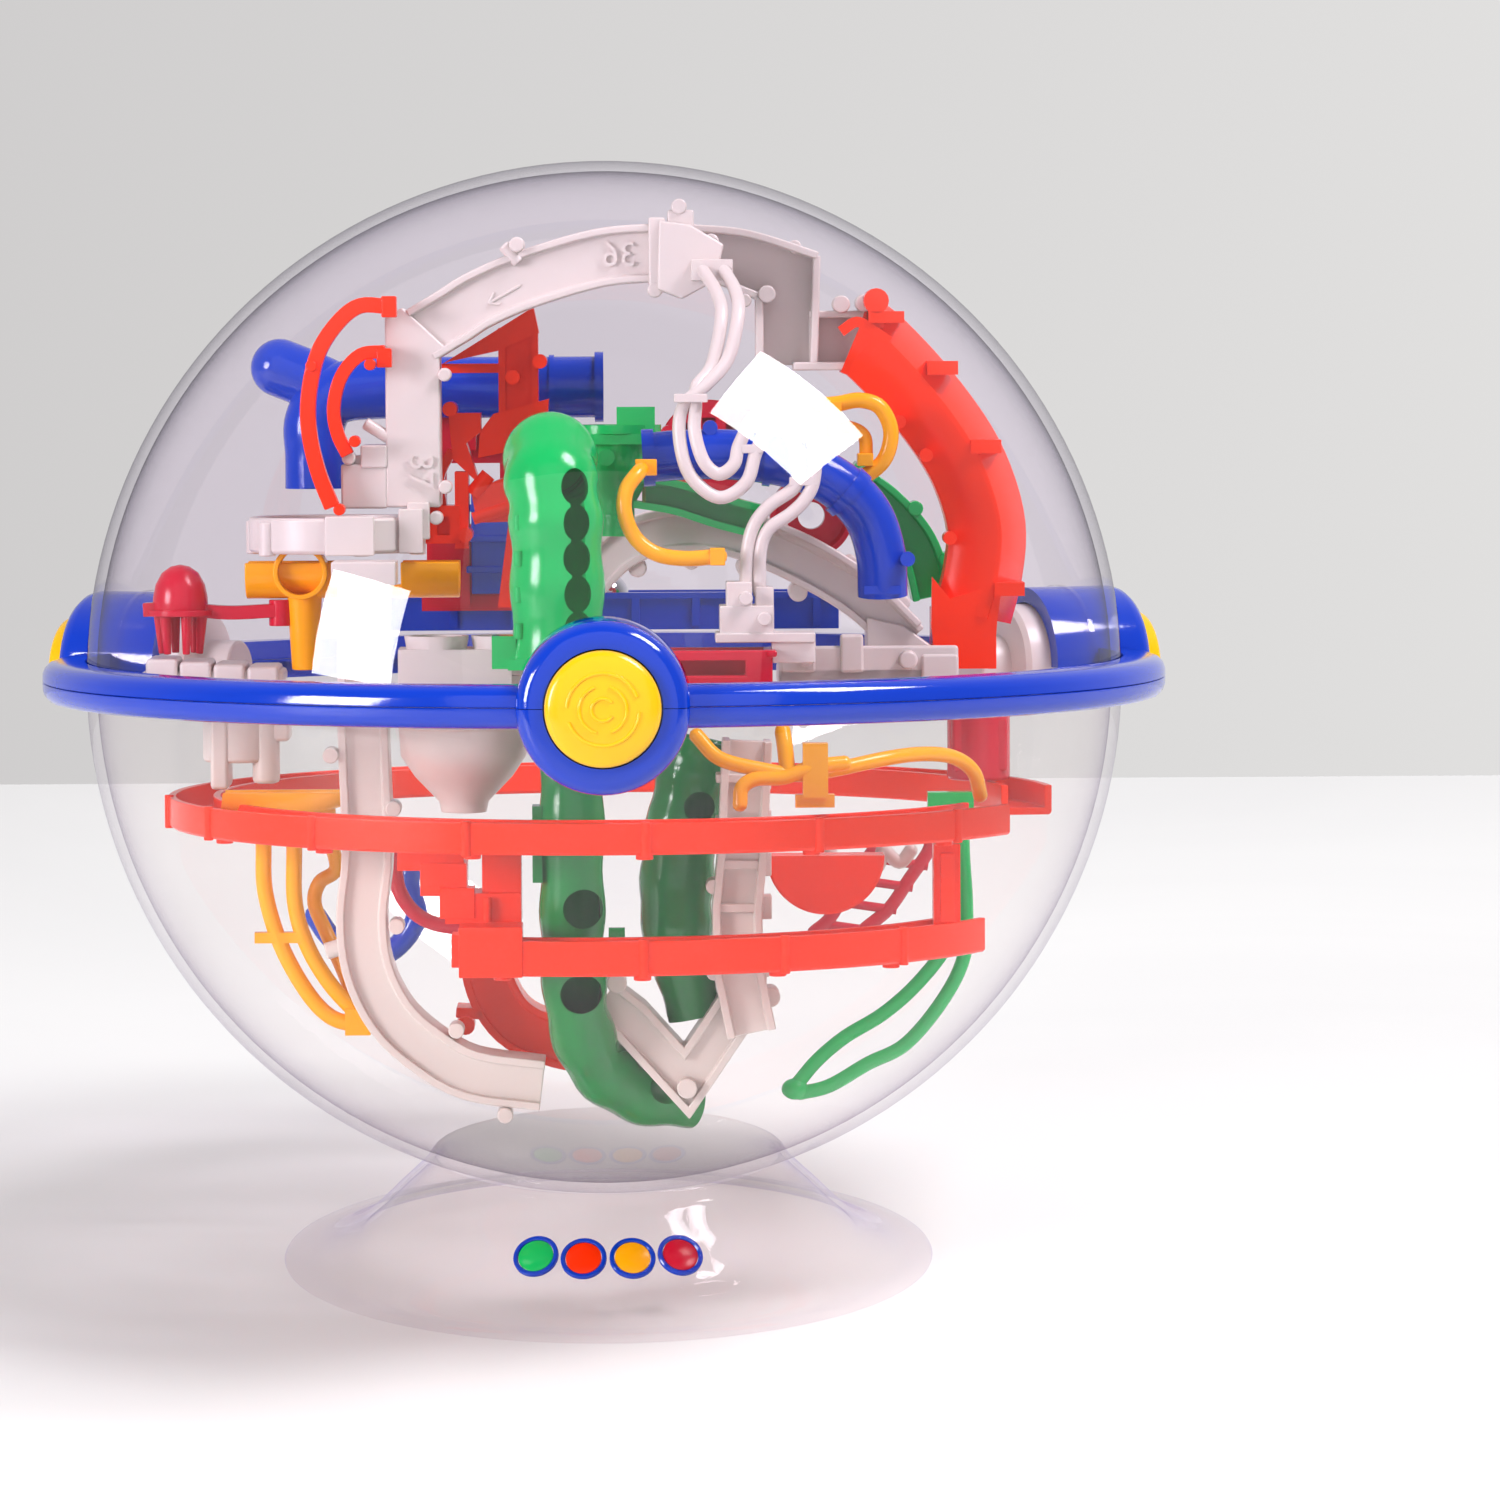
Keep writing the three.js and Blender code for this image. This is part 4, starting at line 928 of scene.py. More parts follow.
pegs(stair, [(-12, 61), (-29.2, 52), (-26.4, 28), (-17.2, 58), (-33, 29.4)], 1.4, -18, -6)
stair_cells = [tool_block(-35.6, -33.2, -20, -15, 28, 31.6), tool_block(-31.8, -29.4, -20, -15, 28, 31.6)]
maze_piece(stair, "stair_track", orange_abs, "orange_stair_track", cuts=stair_cells, edge=0.45)

# Crimson frame. A tall flat panel of crimson ABS behind the stair, stiffened by flanges, with
# windows through it.
panel = bmesh.new()
slab(panel, -35, -17, 21, 25, 12, 61)
slab(panel, -36, -16, 19.6, 22, 58.4, 61)
slab(panel, -36, -16, 19.6, 22, 12, 15)
slab(panel, -32, -25, 15, 22, 43.6, 61)
slab(panel, -34, -26.4, 14, 22, 13, 27)
windows = [tool_block(-24.4, -19.4, 18, 27, 44 + i * 8, 50 + i * 8) for i in range(2)]
windows += [tool_block(-31, -20.5, 12, 27, 29, 41), tool_block(-24.4, -19.4, 18, 27, 16, 26)]
maze_piece(panel, "window_panel", crimson_abs, "crimson_frame", cuts=windows, edge=0.4)

# Green column. A bright scalloped half tube stands behind the front boss and domes over at the
# top, with a row of deep bites down its front.
column = bmesh.new()
pipe(
    column,
    [
        (-8.4, -65, 5), (-8.4, -65, 20), (-8.6, -65, 32), (-9.4, -63.6, 39), (-9.6, -57.6, 43.2),
        (-9.4, -51, 42.4), (-9.2, -46.6, 38), (-9.2, -45.6, 30),
    ],
    8.5,
    7,
    sides=40,
    waist=lambda t: (1 + 0.04 * math.cos(t * 44)) * (1 - 0.16 * max(0.0, t - 0.55) / 0.45),
)
slab(column, -20.4, -16, -69, -61, 5, 11)
slab(column, -17.4, -3, -74.4, -72, 5, 7)
for z in (12, 18.6, 25.2, 31.8):
    rod_along(column, (-15.4, -69.8, z - 1.4), (-15.4, -69.8, z + 1.4), 0.9, 14)
bites = []
for i in range(5):
    bite = bmesh.new()
    bite_place = Matrix.Translation((-4.6 - i * 0.12, -71.8 + i * 0.3, 12.2 + i * 6.5))
    bite_size = Matrix.Diagonal((2.6, 5, 3.5, 1))
    bmesh.ops.create_icosphere(bite, subdivisions=3, radius=1, matrix=bite_place @ bite_size)
    bites.append(solid_of(bite))
slot = bmesh.new()
rod_along(slot, (-3.9, -73.4, 10), (-4.8, -71.6, 39.6), 1.5, 20)
bites.append(solid_of(slot))
maze_piece(column, "column_tube", green_abs, "green_column", edge=0, smooth=50, cuts=bites)

# Green funnel. A turned cup with a flat lip and a raised handle, and a chute that runs down to
# the right behind the blue tube.
funnel = bmesh.new()
lathe(
    funnel,
    [(2.3, -6), (3.5, -6), (3.5, 0), (5, 2.6), (7, 8.4), (7.2, 12.8), (8.6, 13.4), (8.6, 15), (6.2, 15),
    (6, 9.6),
     (2.3, 0.6), (2.3, -6)],
    56,
)
move(funnel, Matrix.Translation((2.4, -28, 34)))
slab(funnel, 2.6, 9.8, -34.6, -28.6, 46, 52.4)
slab(funnel, -4.6, 9.6, -36, -35, 45.4, 47.4)
pegs(funnel, [(0.6, 43), (5, 38)], 1.6, -38, -30)
funnel = solid_of(funnel)
chute = bmesh.new()
track(chute, channel(6.4, 10, 1.3, 1.6, "front"), bow([(6, 36.6), (14, 35.2), (22, 32.6), (30.4, 30.4)]), -28)
bmesh.ops.recalc_face_normals(chute, faces=chute.faces)
bored = solid_of(chute)
combine(bored, [hole((2.4, -28, 20), (2.4, -28, 60), 6)])
combine(funnel, [bored], "UNION", crossed=True)
finish_piece(funnel, "green_cup_chute", green_abs, "green", ["green_funnel"], edge=0.3, smooth=40)

# Blue tube at the front. Glossy blue ABS with thin walls. It opens level, then bends down to the
# right, with a beaded mouth and two bands round it.
front_tube = bmesh.new()
bend = [(7.6, -46, 43), (16, -46, 43.6), (26, -46, 43.4), (36, -46, 41.6), (43.6, -45, 38), (49.2, -44, 32.4),
        (51.8, -43, 25), (52.2, -42, 17)]
pipe(front_tube, bend, 4.7, 3.8, steps=5)
pipe(front_tube, [(7.4, -46, 43), (8.4, -46, 43.05), (9.6, -46, 43.1)], 5.4, 3.8, steps=2)
pipe(front_tube, [(30, -46, 42.9), (31, -46, 42.8), (32, -46, 42.6)], 5.2, 3.8, steps=2)
pipe(front_tube, [(44.8, -44.9, 37.1), (45.6, -44.8, 36.4), (46.4, -44.7, 35.6)], 5.2, 3.8, steps=2)
slab(front_tube, 48.6, 55.4, -46.8, -44.6, 17.4, 19)
pegs(front_tube, [(20, 48.6), (38.6, 46), (56.6, 24)], 1.4, -49, -44)
maze_piece(front_tube, "front_tube", blue_abs, "blue_tube_front", edge=0, smooth=40)

# Yellow wire loop by the column. One round wire moulded in yellow ABS, bent to a hook, with a
# square clip at each end.
loop = bmesh.new()
rod(
    loop,
    [(7.4, -58, 41.4), (6.6, -62, 40.6), (4.4, -64, 37.6), (4, -65, 33.4), (5.9, -65, 28.8), (9.8, -65, 25.8),
     (15, -65, 24.9), (21.4, -64, 25.2)],
    1.45,
)
slab(loop, 6, 10, -60.4, -54, 40, 43)
slab(loop, 19.6, 22.4, -66, -62.4, 23.6, 26.8)
maze_piece(loop, "wire_loop", yellow_abs, "yellow_wire_loop", edge=0.2, smooth=50)

# Yellow side loop behind the blue bend. Two round moulded wires, one inside the other, held by
# square clips.
side_loop = bmesh.new()
rod(
    side_loop,
    [(40.6, -29, 52.4), (44.6, -29, 52.8), (48.6, -29, 53.4), (52.4, -29, 52), (54.4, -29, 47.4),
    (53, -29, 42), (48.6, -29, 38.8),
     (44, -29, 38.4)],
    1.5,
)
rod(side_loop, [(43.4, -27, 47.6), (46.6, -27, 48.2), (49.4, -27, 46.6), (49.8, -27, 43)], 1.3)
slab(side_loop, 48, 51, -31.2, -26, 41, 43.4)
slab(side_loop, 42, 45, -31.2, -26, 46.4, 53.2)
maze_piece(side_loop, "side_loop", yellow_abs, "yellow_side_loop", edge=0.2, smooth=50)

# Crimson discs. A shallow drum with slots and an open wheel, turned shapes in crimson ABS, joined
# by a link and hung above the ramp.
discs = bmesh.new()
lathe(
    discs,
    [(0, -4.4), (9.4, -4.4), (9.9, -3.9), (9.9, -3), (8.6, -3), (8.6, 3.4), (9.6, 3.4), (9.6, 4.4), (0, 4.4)],
    64,
)
turn_to_front = Matrix.Rotation(math.radians(90), 4, "X")
move(discs, Matrix.Translation((20.5, -2, 43.5)) @ turn_to_front)
dome = set(discs.verts)
lathe(discs, [(2.6, -4), (8, -4), (8, 4), (7, 4), (6.4, 1.6), (2.6, 1.6)], 64)
wheel = [v for v in discs.verts if v not in dome]
bmesh.ops.transform(discs, matrix=Matrix.Translation((40, -3, 31)) @ turn_to_front, verts=wheel)
track(discs, bar(3, 4), [(26.6, 47), (40, 37)], 0)
pegs(discs, [(20.5, 43.5), (12.6, 47), (27.6, 50.4)], 1.6, -9, 0)
spokes = [tool_block(14.4 + 4.6 * i, 17 + 4.6 * i, -8, -1, 44.6, 50 - abs(i - 1)) for i in range(3)]
maze_piece(discs, "slotted_discs", crimson_abs, "crimson_discs", edge=0.3, cuts=spokes)

# White ramp. A broad bowed channel across the middle that slopes down to the right and lands on
# a square block, with scalloped ribs under it.
ramp = bmesh.new()
ramp_line = bow([(-3, 19.6), (2.6, 25), (9, 28), (17, 28.9), (26, 27.4), (37.4, 22.6), (49, 15.6), (58, 7)])
track(ramp, channel(8.4, 12, 1.4, 1.5), ramp_line, -15)
for x, z in ((6.4, 21.6), (16.6, 23), (27, 21.6), (37, 16.8)):
    rod_along(ramp, (x, -20, z), (x, -9, z), 1.8, 20)
slab(ramp, -6, -1, -20, -8.6, 10, 21)
plate(ramp, [(50, 12), (57, 10.4), (63, 6), (63, 4), (50, 4)], -21.6, -9)
track(ramp, bar(1.4, 4), bow([(30, 31), (41, 26), (51, 19.4), (60, 10.6)]), -22)
pegs(ramp, [(2, 30), (20, 33), (34, 29), (47, 22.6), (57, 14.8)], 1.3, -22.6, -14)
maze_piece(ramp, "ramp_track", white_abs, "white_ramp", edge=0.4)

# Crimson trough. A small open box of crimson ABS on the ring's level, with flanged ends and a
# slot through its front wall.
trough = bmesh.new()
slab(trough, 9, 31, -66, -52, 1, 8)
slab(trough, 8.2, 10, -67, -51, 6.8, 8)
slab(trough, 30, 31.8, -67, -51, 6.8, 8)
cavities = [tool_block(11, 29.4, -64.4, -53.4, 2.6, 9), tool_block(14, 26, -68, -64, 3.4, 6.2)]
maze_piece(trough, "red_trough", crimson_abs, "crimson_trough", cuts=cavities, edge=0.5)

# White clamp. A stepped block of white ABS by the front hub that takes the ends of the wire
# rails.
clamp = bmesh.new()
slab(clamp, 21.4, 31.4, -61.6, -52, 9.2, 16)
slab(clamp, 22.6, 27.4, -61.4, -54.4, 14, 20.4)
slab(clamp, 28, 31.4, -60, -54.6, 14, 19.4)
slab(clamp, 20.6, 39, -62, -52, 9.2, 11)
slab(clamp, 31, 39, -61, -53, 5.4, 10)
pegs(clamp, [(26.2, 17.4), (29.6, 13.6)], 1.3, -63, -60)
maze_piece(clamp, "rail_clamp", white_abs, "white_clamp")

# Blue ball lane. A long level channel right across the back, in glossy blue ABS with a flanged
# rim and outside ribs, where the steel ball rests.
lane = bmesh.new()
slab(lane, -46.35, 46.35, 28.95, 43.05, 7.7, 15.05)
slab(lane, -46.35, 46.35, 28.2, 43.8, 13.8, 15.05)
for x in range(-42, 43, 12):
    slab(lane, x - 0.8, x + 0.8, 28.2, 43.8, 8.4, 14)
lane_solid = solid_of(lane)
combine(lane_solid, [tool_block(-44.75, 44.75, 30.55, 41.45, 9.3, 20)], crossed=True)
finish_piece(lane_solid, "ball_lane", blue_abs, "blue", ["blue_ball_lane"], edge=0.35)

# Green wing. A bent guard of green ABS beside the blue bend, a channel with its floor set well
# back.
wing = bmesh.new()
track(wing, channel(8, 13, 1.4, 4), bow([(47, 38), (54, 33), (59.6, 27), (62.4, 21.4), (64, 14.6)]), 12)
pegs(wing, [(52, 38.6), (60.6, 32), (66.6, 22)], 1.5, 5, 12)
maze_piece(wing, "guard_wing", green_abs, "green_wing")

# White deck and white tray. Shallow level mouldings on the ring's level: the deck to the right
# has upstands along its front, and the tray at the front left has two tapered cups.
deck = bmesh.new()
slab(deck, 33, 67, -30, -8, -1, 3)
slab(deck, 33, 67, -30, -28.4, -1, 7)
slab(deck, 33.4, 40, -30.4, -22, 2, 8.4)
slab(deck, 50, 55.4, -29, -20, -7, 0)
slab(deck, 44.6, 49, -30.8, -28, 2, 9.2)
slab(deck, 60, 67, -31, -24, -1, 5.4)
pegs(deck, [(38, 5), (57.4, 4.4)], 1.8, -33, -28)
maze_piece(deck, "side_deck", white_abs, "white_deck", edge=0.6)

tray = bmesh.new()
slab(tray, -38, -17, -57, -44, 0.5, 8)
tray_cuts = []
for middle in (-31, -18.6):
    rod_along(tray, (middle, -51.5, 0.8), (middle, -51.5, 10.4), 4.4, 48, tip=6)
    tray_cuts.append(hole((middle, -51.5, 3), (middle, -51.5, 14), 4.8))
maze_piece(tray, "front_tray", white_abs, "white_tray", cuts=tray_cuts, edge=0.6)

# Orange ring track. An open gutter on a long curve just under the grip ring, with small ribs
# between its segments.
def gutter_ring(radii, heights, turns, at, ribs):
    """An open gutter turned about the globe's axis, moved to the right by at, with ribs."""
    inner, outer = radii
    low, high = heights
    wall = 1.4
    bm = bmesh.new()
    profile = [
        (inner, low + 0.5), (inner + 0.5, low), (outer - 0.5, low), (outer, low + 0.5), (outer, high),
        (outer - wall, high), (outer - wall, low + wall), (inner + wall, low + wall),
        (inner + wall, high),
        (inner, high),
    ]
    count = int(abs(turns[1] - turns[0]) / 3)
    stations = []
    for i in range(count + 1):
        a = math.radians(turns[0] + (turns[1] - turns[0]) * i / count)
        turned = Matrix.Rotation(a, 4, "Z") @ Matrix.Rotation(math.radians(90), 4, "X")
        stations.append(Matrix.Translation((at, 0, 0)) @ turned)
    pull(bm, profile, stations)
    for a in ribs:
        p = outward(a, outer - 0.1)
        rod_along(bm, (p.x + at, p.y, low - 0.3), (p.x + at, p.y, high + 0.3), 0.9, 14)
        q = outward(a, outer - 3.4)
        rod_along(bm, (q.x + at, q.y, low - 1), (q.x + at, q.y, low + 1), 1.6, 16)
    return bm


ring_track = gutter_ring((76, 86), (-28, -22.2), (-355, -30), 1.5, range(-84, 60, 22))
maze_piece(ring_track, "ring_track", orange_abs, "orange_ring_track", edge=0.2)

lower_arc = gutter_ring((72.4, 81), (-50.5, -44), (-108, -28), 0, range(-14, 62, 19))
slab(lower_arc, 61.4, 66.4, -46.4, -40.4, -46, -29.4)
slab(lower_arc, 62.6, 65.2, -48, -39.4, -44, -31)
slab(lower_arc, -26.6, -15, -80, -69, -50.6, -41.4)
slab(lower_arc, -28, -24.6, -77, -70, -49, -43)
maze_piece(lower_arc, "lower_arc_track", orange_abs, "orange_lower_arc", edge=0.2)

# White curved post. A deep channel of white ABS down the left that sweeps round to the bottom,
# with locating pegs along its edges.
post = bmesh.new()
post_line = bow(
    [(-44.6, 23.6), (-44.8, 8), (-45, -8), (-44.4, -30), (-45.6, -42), (-44.6, -52), (-40.4, -61),
    (-33.8, -67.4),
     (-25.4, -72.2), (-12, -74.2)],
    4,
)
track(post, channel(9.4, 12, 1.5, 1.4), post_line, -42)
pegs(post, [(-39.4, -22), (-39, -44), (-28, -63.6), (-51, -12), (-19, -79.6)], 1.5, -49, -43)
rod_along(post, (-52.4, -44, -49), (-49, -44, -48), 1.6, 20)
slab(post, -50.6, -38.6, -48.4, -36, 19.6, 24)
maze_piece(post, "curved_post", white_abs, "white_curved_post", edge=0.3)

# Yellow rods. Three moulded wires hang from an open spoon and meet in a block at the lower left,
# tied half way down.
rods = bmesh.new()
rod(rods, [(-65, -28, -22), (-64.8, -28, -30), (-64.6, -28, -39), (-61.8, -28, -49), (-57, -28, -58),
    (-52.4, -28, -63),
           (-46.8, -28, -64.8)], 1.55)
rod(rods, [(-59.4, -28, -22), (-59, -28, -30), (-59, -28, -41), (-56.8, -28, -49.2), (-52.4, -28, -56.8),
    (-46.8, -28, -63)], 1.55)
rod(rods, [(-52.8, -24, -22), (-52.2, -23, -30), (-51.4, -22, -35.4), (-54.6, -21, -38),
    (-55.6, -21, -42), (-53.4, -22, -47.4),
           (-50, -25, -54.6), (-47.4, -27.6, -61)], 1.4)
pipe(rods, [(-72, -28, -19.4), (-61, -28, -20.8), (-50.4, -28, -18.4)], 4.6, 3.5, steps=4)
slab(rods, -49.6, -44.8, -30, -26, -66.4, -61.4)
slab(rods, -66.6, -57.4, -29.4, -26.6, -48.8, -46.8)
maze_piece(rods, "hanging_rods", yellow_abs, "yellow_rods",
    edge=0,
    smooth=50,
    cuts=[tool_block(-76, -47, -36, -20, -20, -10)],
)

# Green tube. A scalloped tube in the green painted darker as shade drops from the front boss,
# bends under and opens at the bottom. Round windows show the ball as it falls.
lower_tube = bmesh.new()
pipe(
    lower_tube,
    [(-6, -69, -9), (-6, -69, -22), (-6, -67.5, -36), (-6, -63, -48), (-5.4, -56, -59), (-3, -47, -68),
     (1.4, -40, -74), (8, -34, -77.6), (15.6, -29.6, -78.4)],
    5.9,
    4.9,
    steps=7,
    sides=36,
    waist=lambda t: 1 + 0.05 * math.cos(t * 44),
)
for z, y in ((-13, -74.6), (-24, -74.4), (-42, -71.8), (-57, -63)):
    rod_along(lower_tube, (-6, y, z), (-6, y + 3, z), 1.1, 14)
slab(lower_tube, -13.2, -11.4, -72, -66, -34, -20)
rod_along(lower_tube, (0.6, -63, -44.6), (3.6, -63, -44.6), 1.5, 16)
windows = [hole((-3.6, -84, -38.9), (-4.2, -66, -38.9), 3.7), hole((-4.2, -82, -55.9), (-4.6, -58, -55), 3.9)]
windows.append(hole((11.4, -48, -74.6), (11.4, -30, -76.6), 3.2))
maze_piece(lower_tube, "drop_tube", painted_shade_green, "green_tube", edge=0, smooth=50, cuts=windows)

# Green chute. A second tube in the green painted darker as shade, beside it, which narrows
# towards the bottom and has a round window near its top.
side_chute = bmesh.new()
pipe(
    side_chute,
    [(18, -43, -9.6), (16.2, -43, -18), (14, -43, -30), (13.2, -43, -42), (14.6, -42, -52), (16.6, -42, -62)],
    6.9,
    5.8,
    sides=32,
    waist=lambda t: (1 + 0.04 * math.cos(t * 38)) * (1 - 0.3 * max(0.0, t - 0.6) / 0.4),
)
windows = [hole((17.6, -60, -22), (17.6, -43, -22), 2.9)]
maze_piece(side_chute, "side_chute", painted_shade_green, "green_chute", edge=0, smooth=50, cuts=windows)

# White vee. An open channel of white ABS bent to a point at the bottom, with locating pegs at its
# ends.
vee = bmesh.new()
track(vee, channel(8.4, 10.4, 1.5, 1.6), [(-0.6, -58), (4.6, -62), (15, -73.6), (25.6, -58),
    (26, -50.6)], -45)
pegs(vee, [(15, -74.4), (2, -54.6), (30.6, -57.4)], 1.9, -52, -45)
slab(vee, 20, 30.6, -48, -41, -54, -50.2)
maze_piece(vee, "vee_chute", white_abs, "white_vee_chute")

# White right post. A tall channel of white ABS with shelves across it, notched along its right
# side.
right_post = bmesh.new()
track(right_post, channel(9.2, 9.6, 1.5, 2.2), [(26.4, -9), (25.4, -30), (24.4, -40), (24.6, -52),
    (27, -63.4)], -55.6)
for z in (-16, -24, -32, -40, -48):
    slab(right_post, 20.6, 29.4, -59.6, -51.6, z - 0.8, z + 0.8)
    slab(right_post, 28.6, 30.8, -58.6, -53.6, z - 2.2, z + 2.2)
pegs(right_post, [(20, -36), (20, -52)], 1.4, -60, -53)
maze_piece(right_post, "shelf_post", white_abs, "white_right_post")

# Green wire loop. Two long moulded wires sweep down the right from a square clip and meet in a
# rounded one.
wire_loop = bmesh.new()
rod(wire_loop, [(68.4, -18, -24), (68.4, -18, -33), (69, -18, -43.6), (68.6, -18, -53),
    (64.6, -18, -61.4), (57.4, -18, -70),
                (50, -18, -73.8), (42.7, -18, -78), (37, -18, -79.4)], 1.35)
rod(wire_loop, [(64, -18, -24), (64.4, -18, -36), (66, -18, -44), (65.2, -18, -51), (59.6, -18, -58.4),
    (53, -18, -64.2),
                (45.7, -18, -68.6), (40.4, -18, -73), (36.6, -18, -77.4)], 1.35)
slab(wire_loop, 61.6, 70.4, -20, -16, -25, -21.6)
clip = Matrix.Translation((36, -18, -78.6)) @ Matrix.Diagonal((1, 1, 0.8, 1))
bmesh.ops.create_icosphere(wire_loop, subdivisions=3, radius=2.6, matrix=clip)
slab(wire_loop, 62.4, 67.6, -19.2, -16.8, -52, -50.2)
maze_piece(wire_loop, "sweep_wires", green_abs, "green_wire_loop", edge=0, smooth=50)

# Yellow wires. Round moulded wires under the front boss that run round to the right, held by an
# upright block.
front_wires = bmesh.new()
rod(front_wires, [(17, -66, -7.6), (21, -68, -11.6), (28, -68, -13.6), (36, -67, -14.8),
    (43.4, -64, -13.9), (52, -60, -12.4),
                  (59, -54, -12), (65, -48, -13), (69, -44, -16), (70.4, -42, -20.6)], 1.4)
rod(front_wires, [(44, -66, -12.8), (38, -67.6, -13.4), (33, -68.4, -15.2), (27.8, -69, -15.4),
    (25.2, -69.4, -17), (24.8, -69.6, -20)], 1.4)
rod(front_wires, [(32.8, -65, -7), (33.2, -66.4, -10), (33.6, -67.4, -14.4)], 1.5)
slab(front_wires, 36.4, 41, -69, -65, -19, -9)
slab(front_wires, 35, 42.2, -68.4, -65.6, -20.8, -18.4)
maze_piece(front_wires, "front_wires", yellow_abs, "yellow_wires", edge=0, smooth=50)

# Crimson ladder and block. The ladder is a slanting pair of moulded wires with rungs, and the
# block behind it is a short drum on a square pad.
ladder = bmesh.new()
rod(ladder, [(54.6, 10, -32.6), (52, 10, -35.4), (47.6, 10, -42), (43.8, 10, -48.2), (40.6, 10, -51)], 1.3)
rod(ladder, [(63.6, 10, -32.6), (63, 10, -35.4), (59.4, 10, -40.6), (55.4, 10, -46.4),
    (50.6, 10, -50.4)], 1.3)
for x, z in ((57.6, -37.4), (54.6, -41.6), (51.4, -46), (47.6, -50.2)):
    rod_along(ladder, (x - 5.4, 10, z + 0.8), (x + 5.4, 10, z - 0.8), 0.9, 14)
maze_piece(ladder, "slant_ladder", crimson_abs, "crimson_ladder", edge=0, smooth=50)

block = bmesh.new()
rod_along(block, (73.5, 19, -21.8), (73.5, 19, -8), 6.2, 48)
slab(block, 68, 79, 14, 24, -20, -9)
maze_piece(block, "round_block", crimson_abs, "crimson_block", edge=0.8)

# Small hooks and wires. Single moulded wires low on the left, at the back and on the right, each
# in its own colour.
hook = bmesh.new()
rod(hook, [(-37.6, 30, -32.6), (-38.4, 30, -37), (-39.4, 30, -43), (-38, 30, -49.6), (-42.4, 30, -55.6),
    (-48, 30, -57),
           (-54.4, 30, -53.8), (-58, 30, -49)], 2.2)
maze_piece(hook, "back_hook", blue_abs, "blue_hook", edge=0, smooth=50)

thin = bmesh.new()
rod(thin, [(-42.6, 20, -31.6), (-41.9, 20, -36), (-41, 20, -43), (-37.2, 20, -48.2), (-30.6, 20, -50.4),
    (-19, 20, -50)], 1.5)
maze_piece(thin, "back_wire", crimson_abs, "crimson_wire", edge=0, smooth=50)

small_hook = bmesh.new()
rod(small_hook, [(42, -36, -30.6), (43.7, -36, -34.6), (47.3, -36, -36.4), (51, -36, -34.8),
    (52.4, -36, -31)], 1.35)
rod(small_hook, [(52.4, -36, -31), (55.4, -36, -33.6), (57.6, -36, -31.4)], 1.3)
maze_piece(small_hook, "small_hook", white_abs, "white_hook", edge=0, smooth=50)

# Orange curl. A channel of orange ABS on the inner side of the curved post that turns in towards
# the bottom.
curl = bmesh.new()
curl_line = bow([(-23, -44.6), (-22.8, -54), (-20.6, -60.6), (-16.4, -65.4), (-9, -68.4), (-3.6, -69.2)], 4)
track(curl, channel(9.6, 12, 1.4, 1.2), curl_line, -22)
track(curl, bar(2, 10), [(-28.6, -62.4), (-23.4, -62.8)], -23)
pegs(curl, [(-18, -52), (-26.8, -64.8), (-13.6, -72.4)], 1.8, -29, -22)
maze_piece(curl, "curl_track", orange_abs, "orange_curl")

# Orange bracket. Stacked shelves of orange ABS on the left of the front tube, moulded in one,
# with hollow cells open at the back.
bracket = bmesh.new()
slab(bracket, -38.2, -26, -63, -52, -32.4, -29)
slab(bracket, -34, -25.4, -64, -53, -37, -31)
slab(bracket, -29.4, -15.4, -66, -54, -42, -36.4)
slab(bracket, -22.6, -15.4, -64.6, -54, -37.4, -29)
slab(bracket, -30.4, -24, -66.4, -60, -41, -35.4)
rod_along(bracket, (-21.6, -66.8, -41.6), (-21.6, -66.8, -37), 0.8, 14)
cells = [tool_block(-28.6, -16.6, -60, -50, -40.4, -38), tool_block(-32.6, -27, -60, -50, -36, -33.4)]
maze_piece(bracket, "shelf_bracket", orange_abs, "orange_bracket", cuts=cells)

# Orange scoop. A shallow half disc of orange ABS with a rim and a flat upper edge, under the ring
# track.
scoop = bmesh.new()
lathe(scoop, [(0, -4), (10.6, -4), (11, -3.6), (11, 3.6), (10, 3.6), (9.6, -2.4), (0, -2.4)], 64)
move(scoop, Matrix.Translation((41, -48, -31)) @ Matrix.Rotation(math.radians(-90), 4, "X"))
slab(scoop, 30.4, 51.6, -52, -44, -32.6, -31)
maze_piece(scoop, "half_disc_scoop", orange_abs, "orange_scoop", cuts=[tool_block(25, 57, -54, -42, -31, -15)]
)

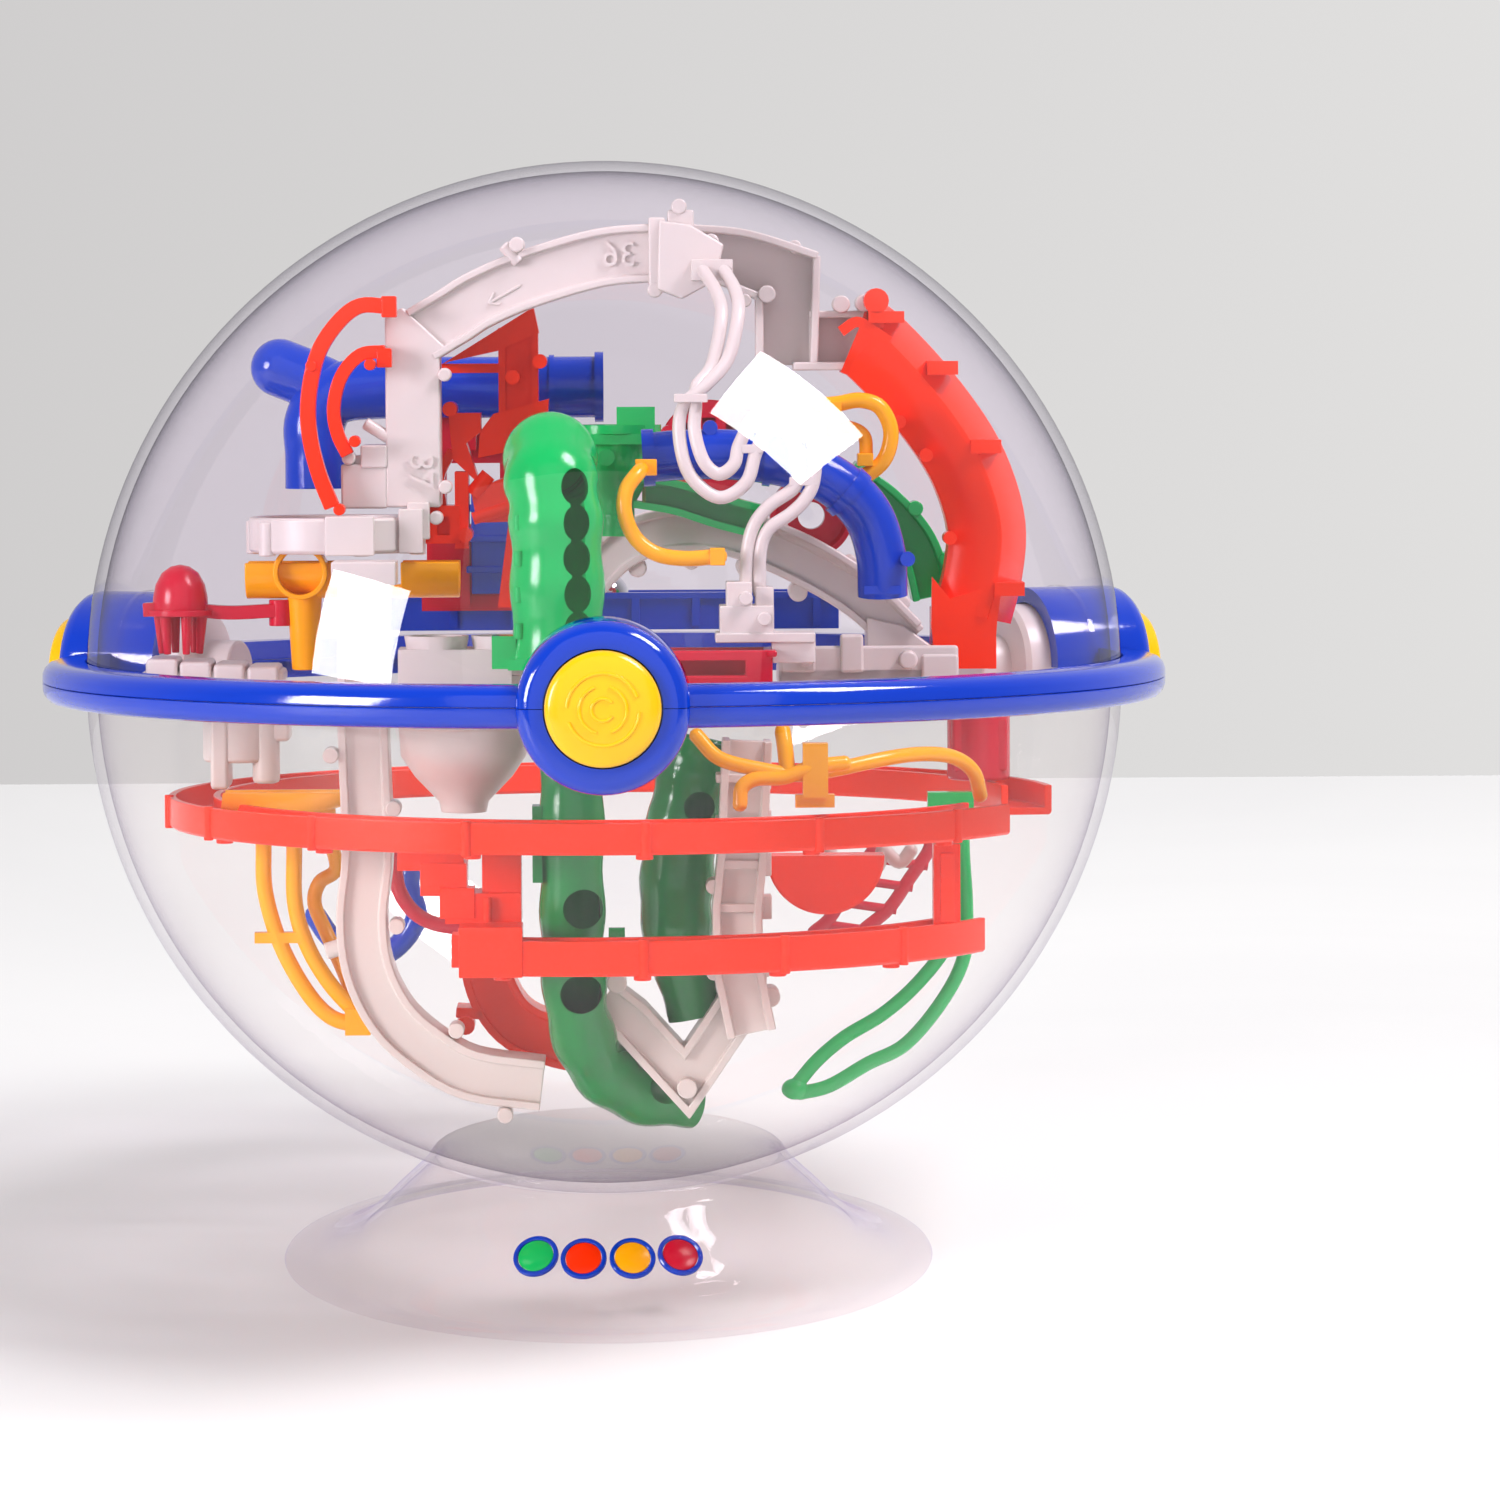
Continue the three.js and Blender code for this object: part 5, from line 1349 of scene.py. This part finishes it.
# White hopper. A round bowl of white ABS under the front tray that narrows in steps to an open
# spout.
hopper = bmesh.new()
lathe(
    hopper,
    [(3, -22), (4.2, -22), (4.6, -20), (9, -15.4), (11.6, -11.6), (12, -6.4), (12.4, -6), (10.6, -6),
    (10.4, -11.2),
     (8, -14.6), (3, -19.6)],
    64,
)
move(hopper, Matrix.Translation((-26, -57, 0)))
maze_piece(hopper, "round_hopper", white_abs, "white_hopper", edge=0.2)

# Blue tower. A slim block of blue ABS with three ledges, behind the stair and over the ball
# lane.
tower = bmesh.new()
slab(tower, -26, -18.2, 12, 18.4, 15.6, 37)
for z in (20.4, 26.4, 32.4):
    slab(tower, -27, -17.4, 11.2, 14, z - 0.7, z + 0.7)
maze_piece(tower, "blue_tower", blue_abs, None)

# Stand badge. A plain row of four small coloured discs in blue rims, which lie flat on the front
# of the cone.
badge_rims = bmesh.new()
colours = (("green", green_abs), ("orange", orange_abs), ("yellow", yellow_abs), ("crimson", crimson_abs))
for i, (colour, stuff) in enumerate(colours):
    angle = math.radians(-18 + 12 * i)
    out = Vector((math.sin(angle), -math.cos(angle), 0))
    normal = (out * 0.69 + Vector((0, 0, 0.725))).normalized()
    across = Vector((0, 0, 1)).cross(normal).normalized()
    seat = Matrix((across, normal.cross(across), normal)).transposed().to_4x4()
    seat.translation = out * 44.4 + Vector((0, 0, 11.2))
    rim = bmesh.new()
    lathe(rim, [(3.5, -0.3), (4.4, -0.3), (4.4, 0.3), (4.2, 0.5), (3.7, 0.5), (3.5, 0.3), (3.5, -0.3)], 48)
    move(rim, seat)
    absorb(badge_rims, rim)
    disc = bmesh.new()
    lathe(disc, [(0, -0.3), (3.4, -0.3), (3.4, 0.25), (3, 0.42), (0, 0.5)], 48)
    move(disc, seat)
    disc = solid_of(disc)
    finish_piece(disc, f"badge_disc_{colour}", stuff, colour, [], "stand", UPRIGHT, edge=0, smooth=40)
finish_piece(solid_of(badge_rims), "badge_rims", blue_abs, "blue", [], "stand", UPRIGHT, edge=0, smooth=40)
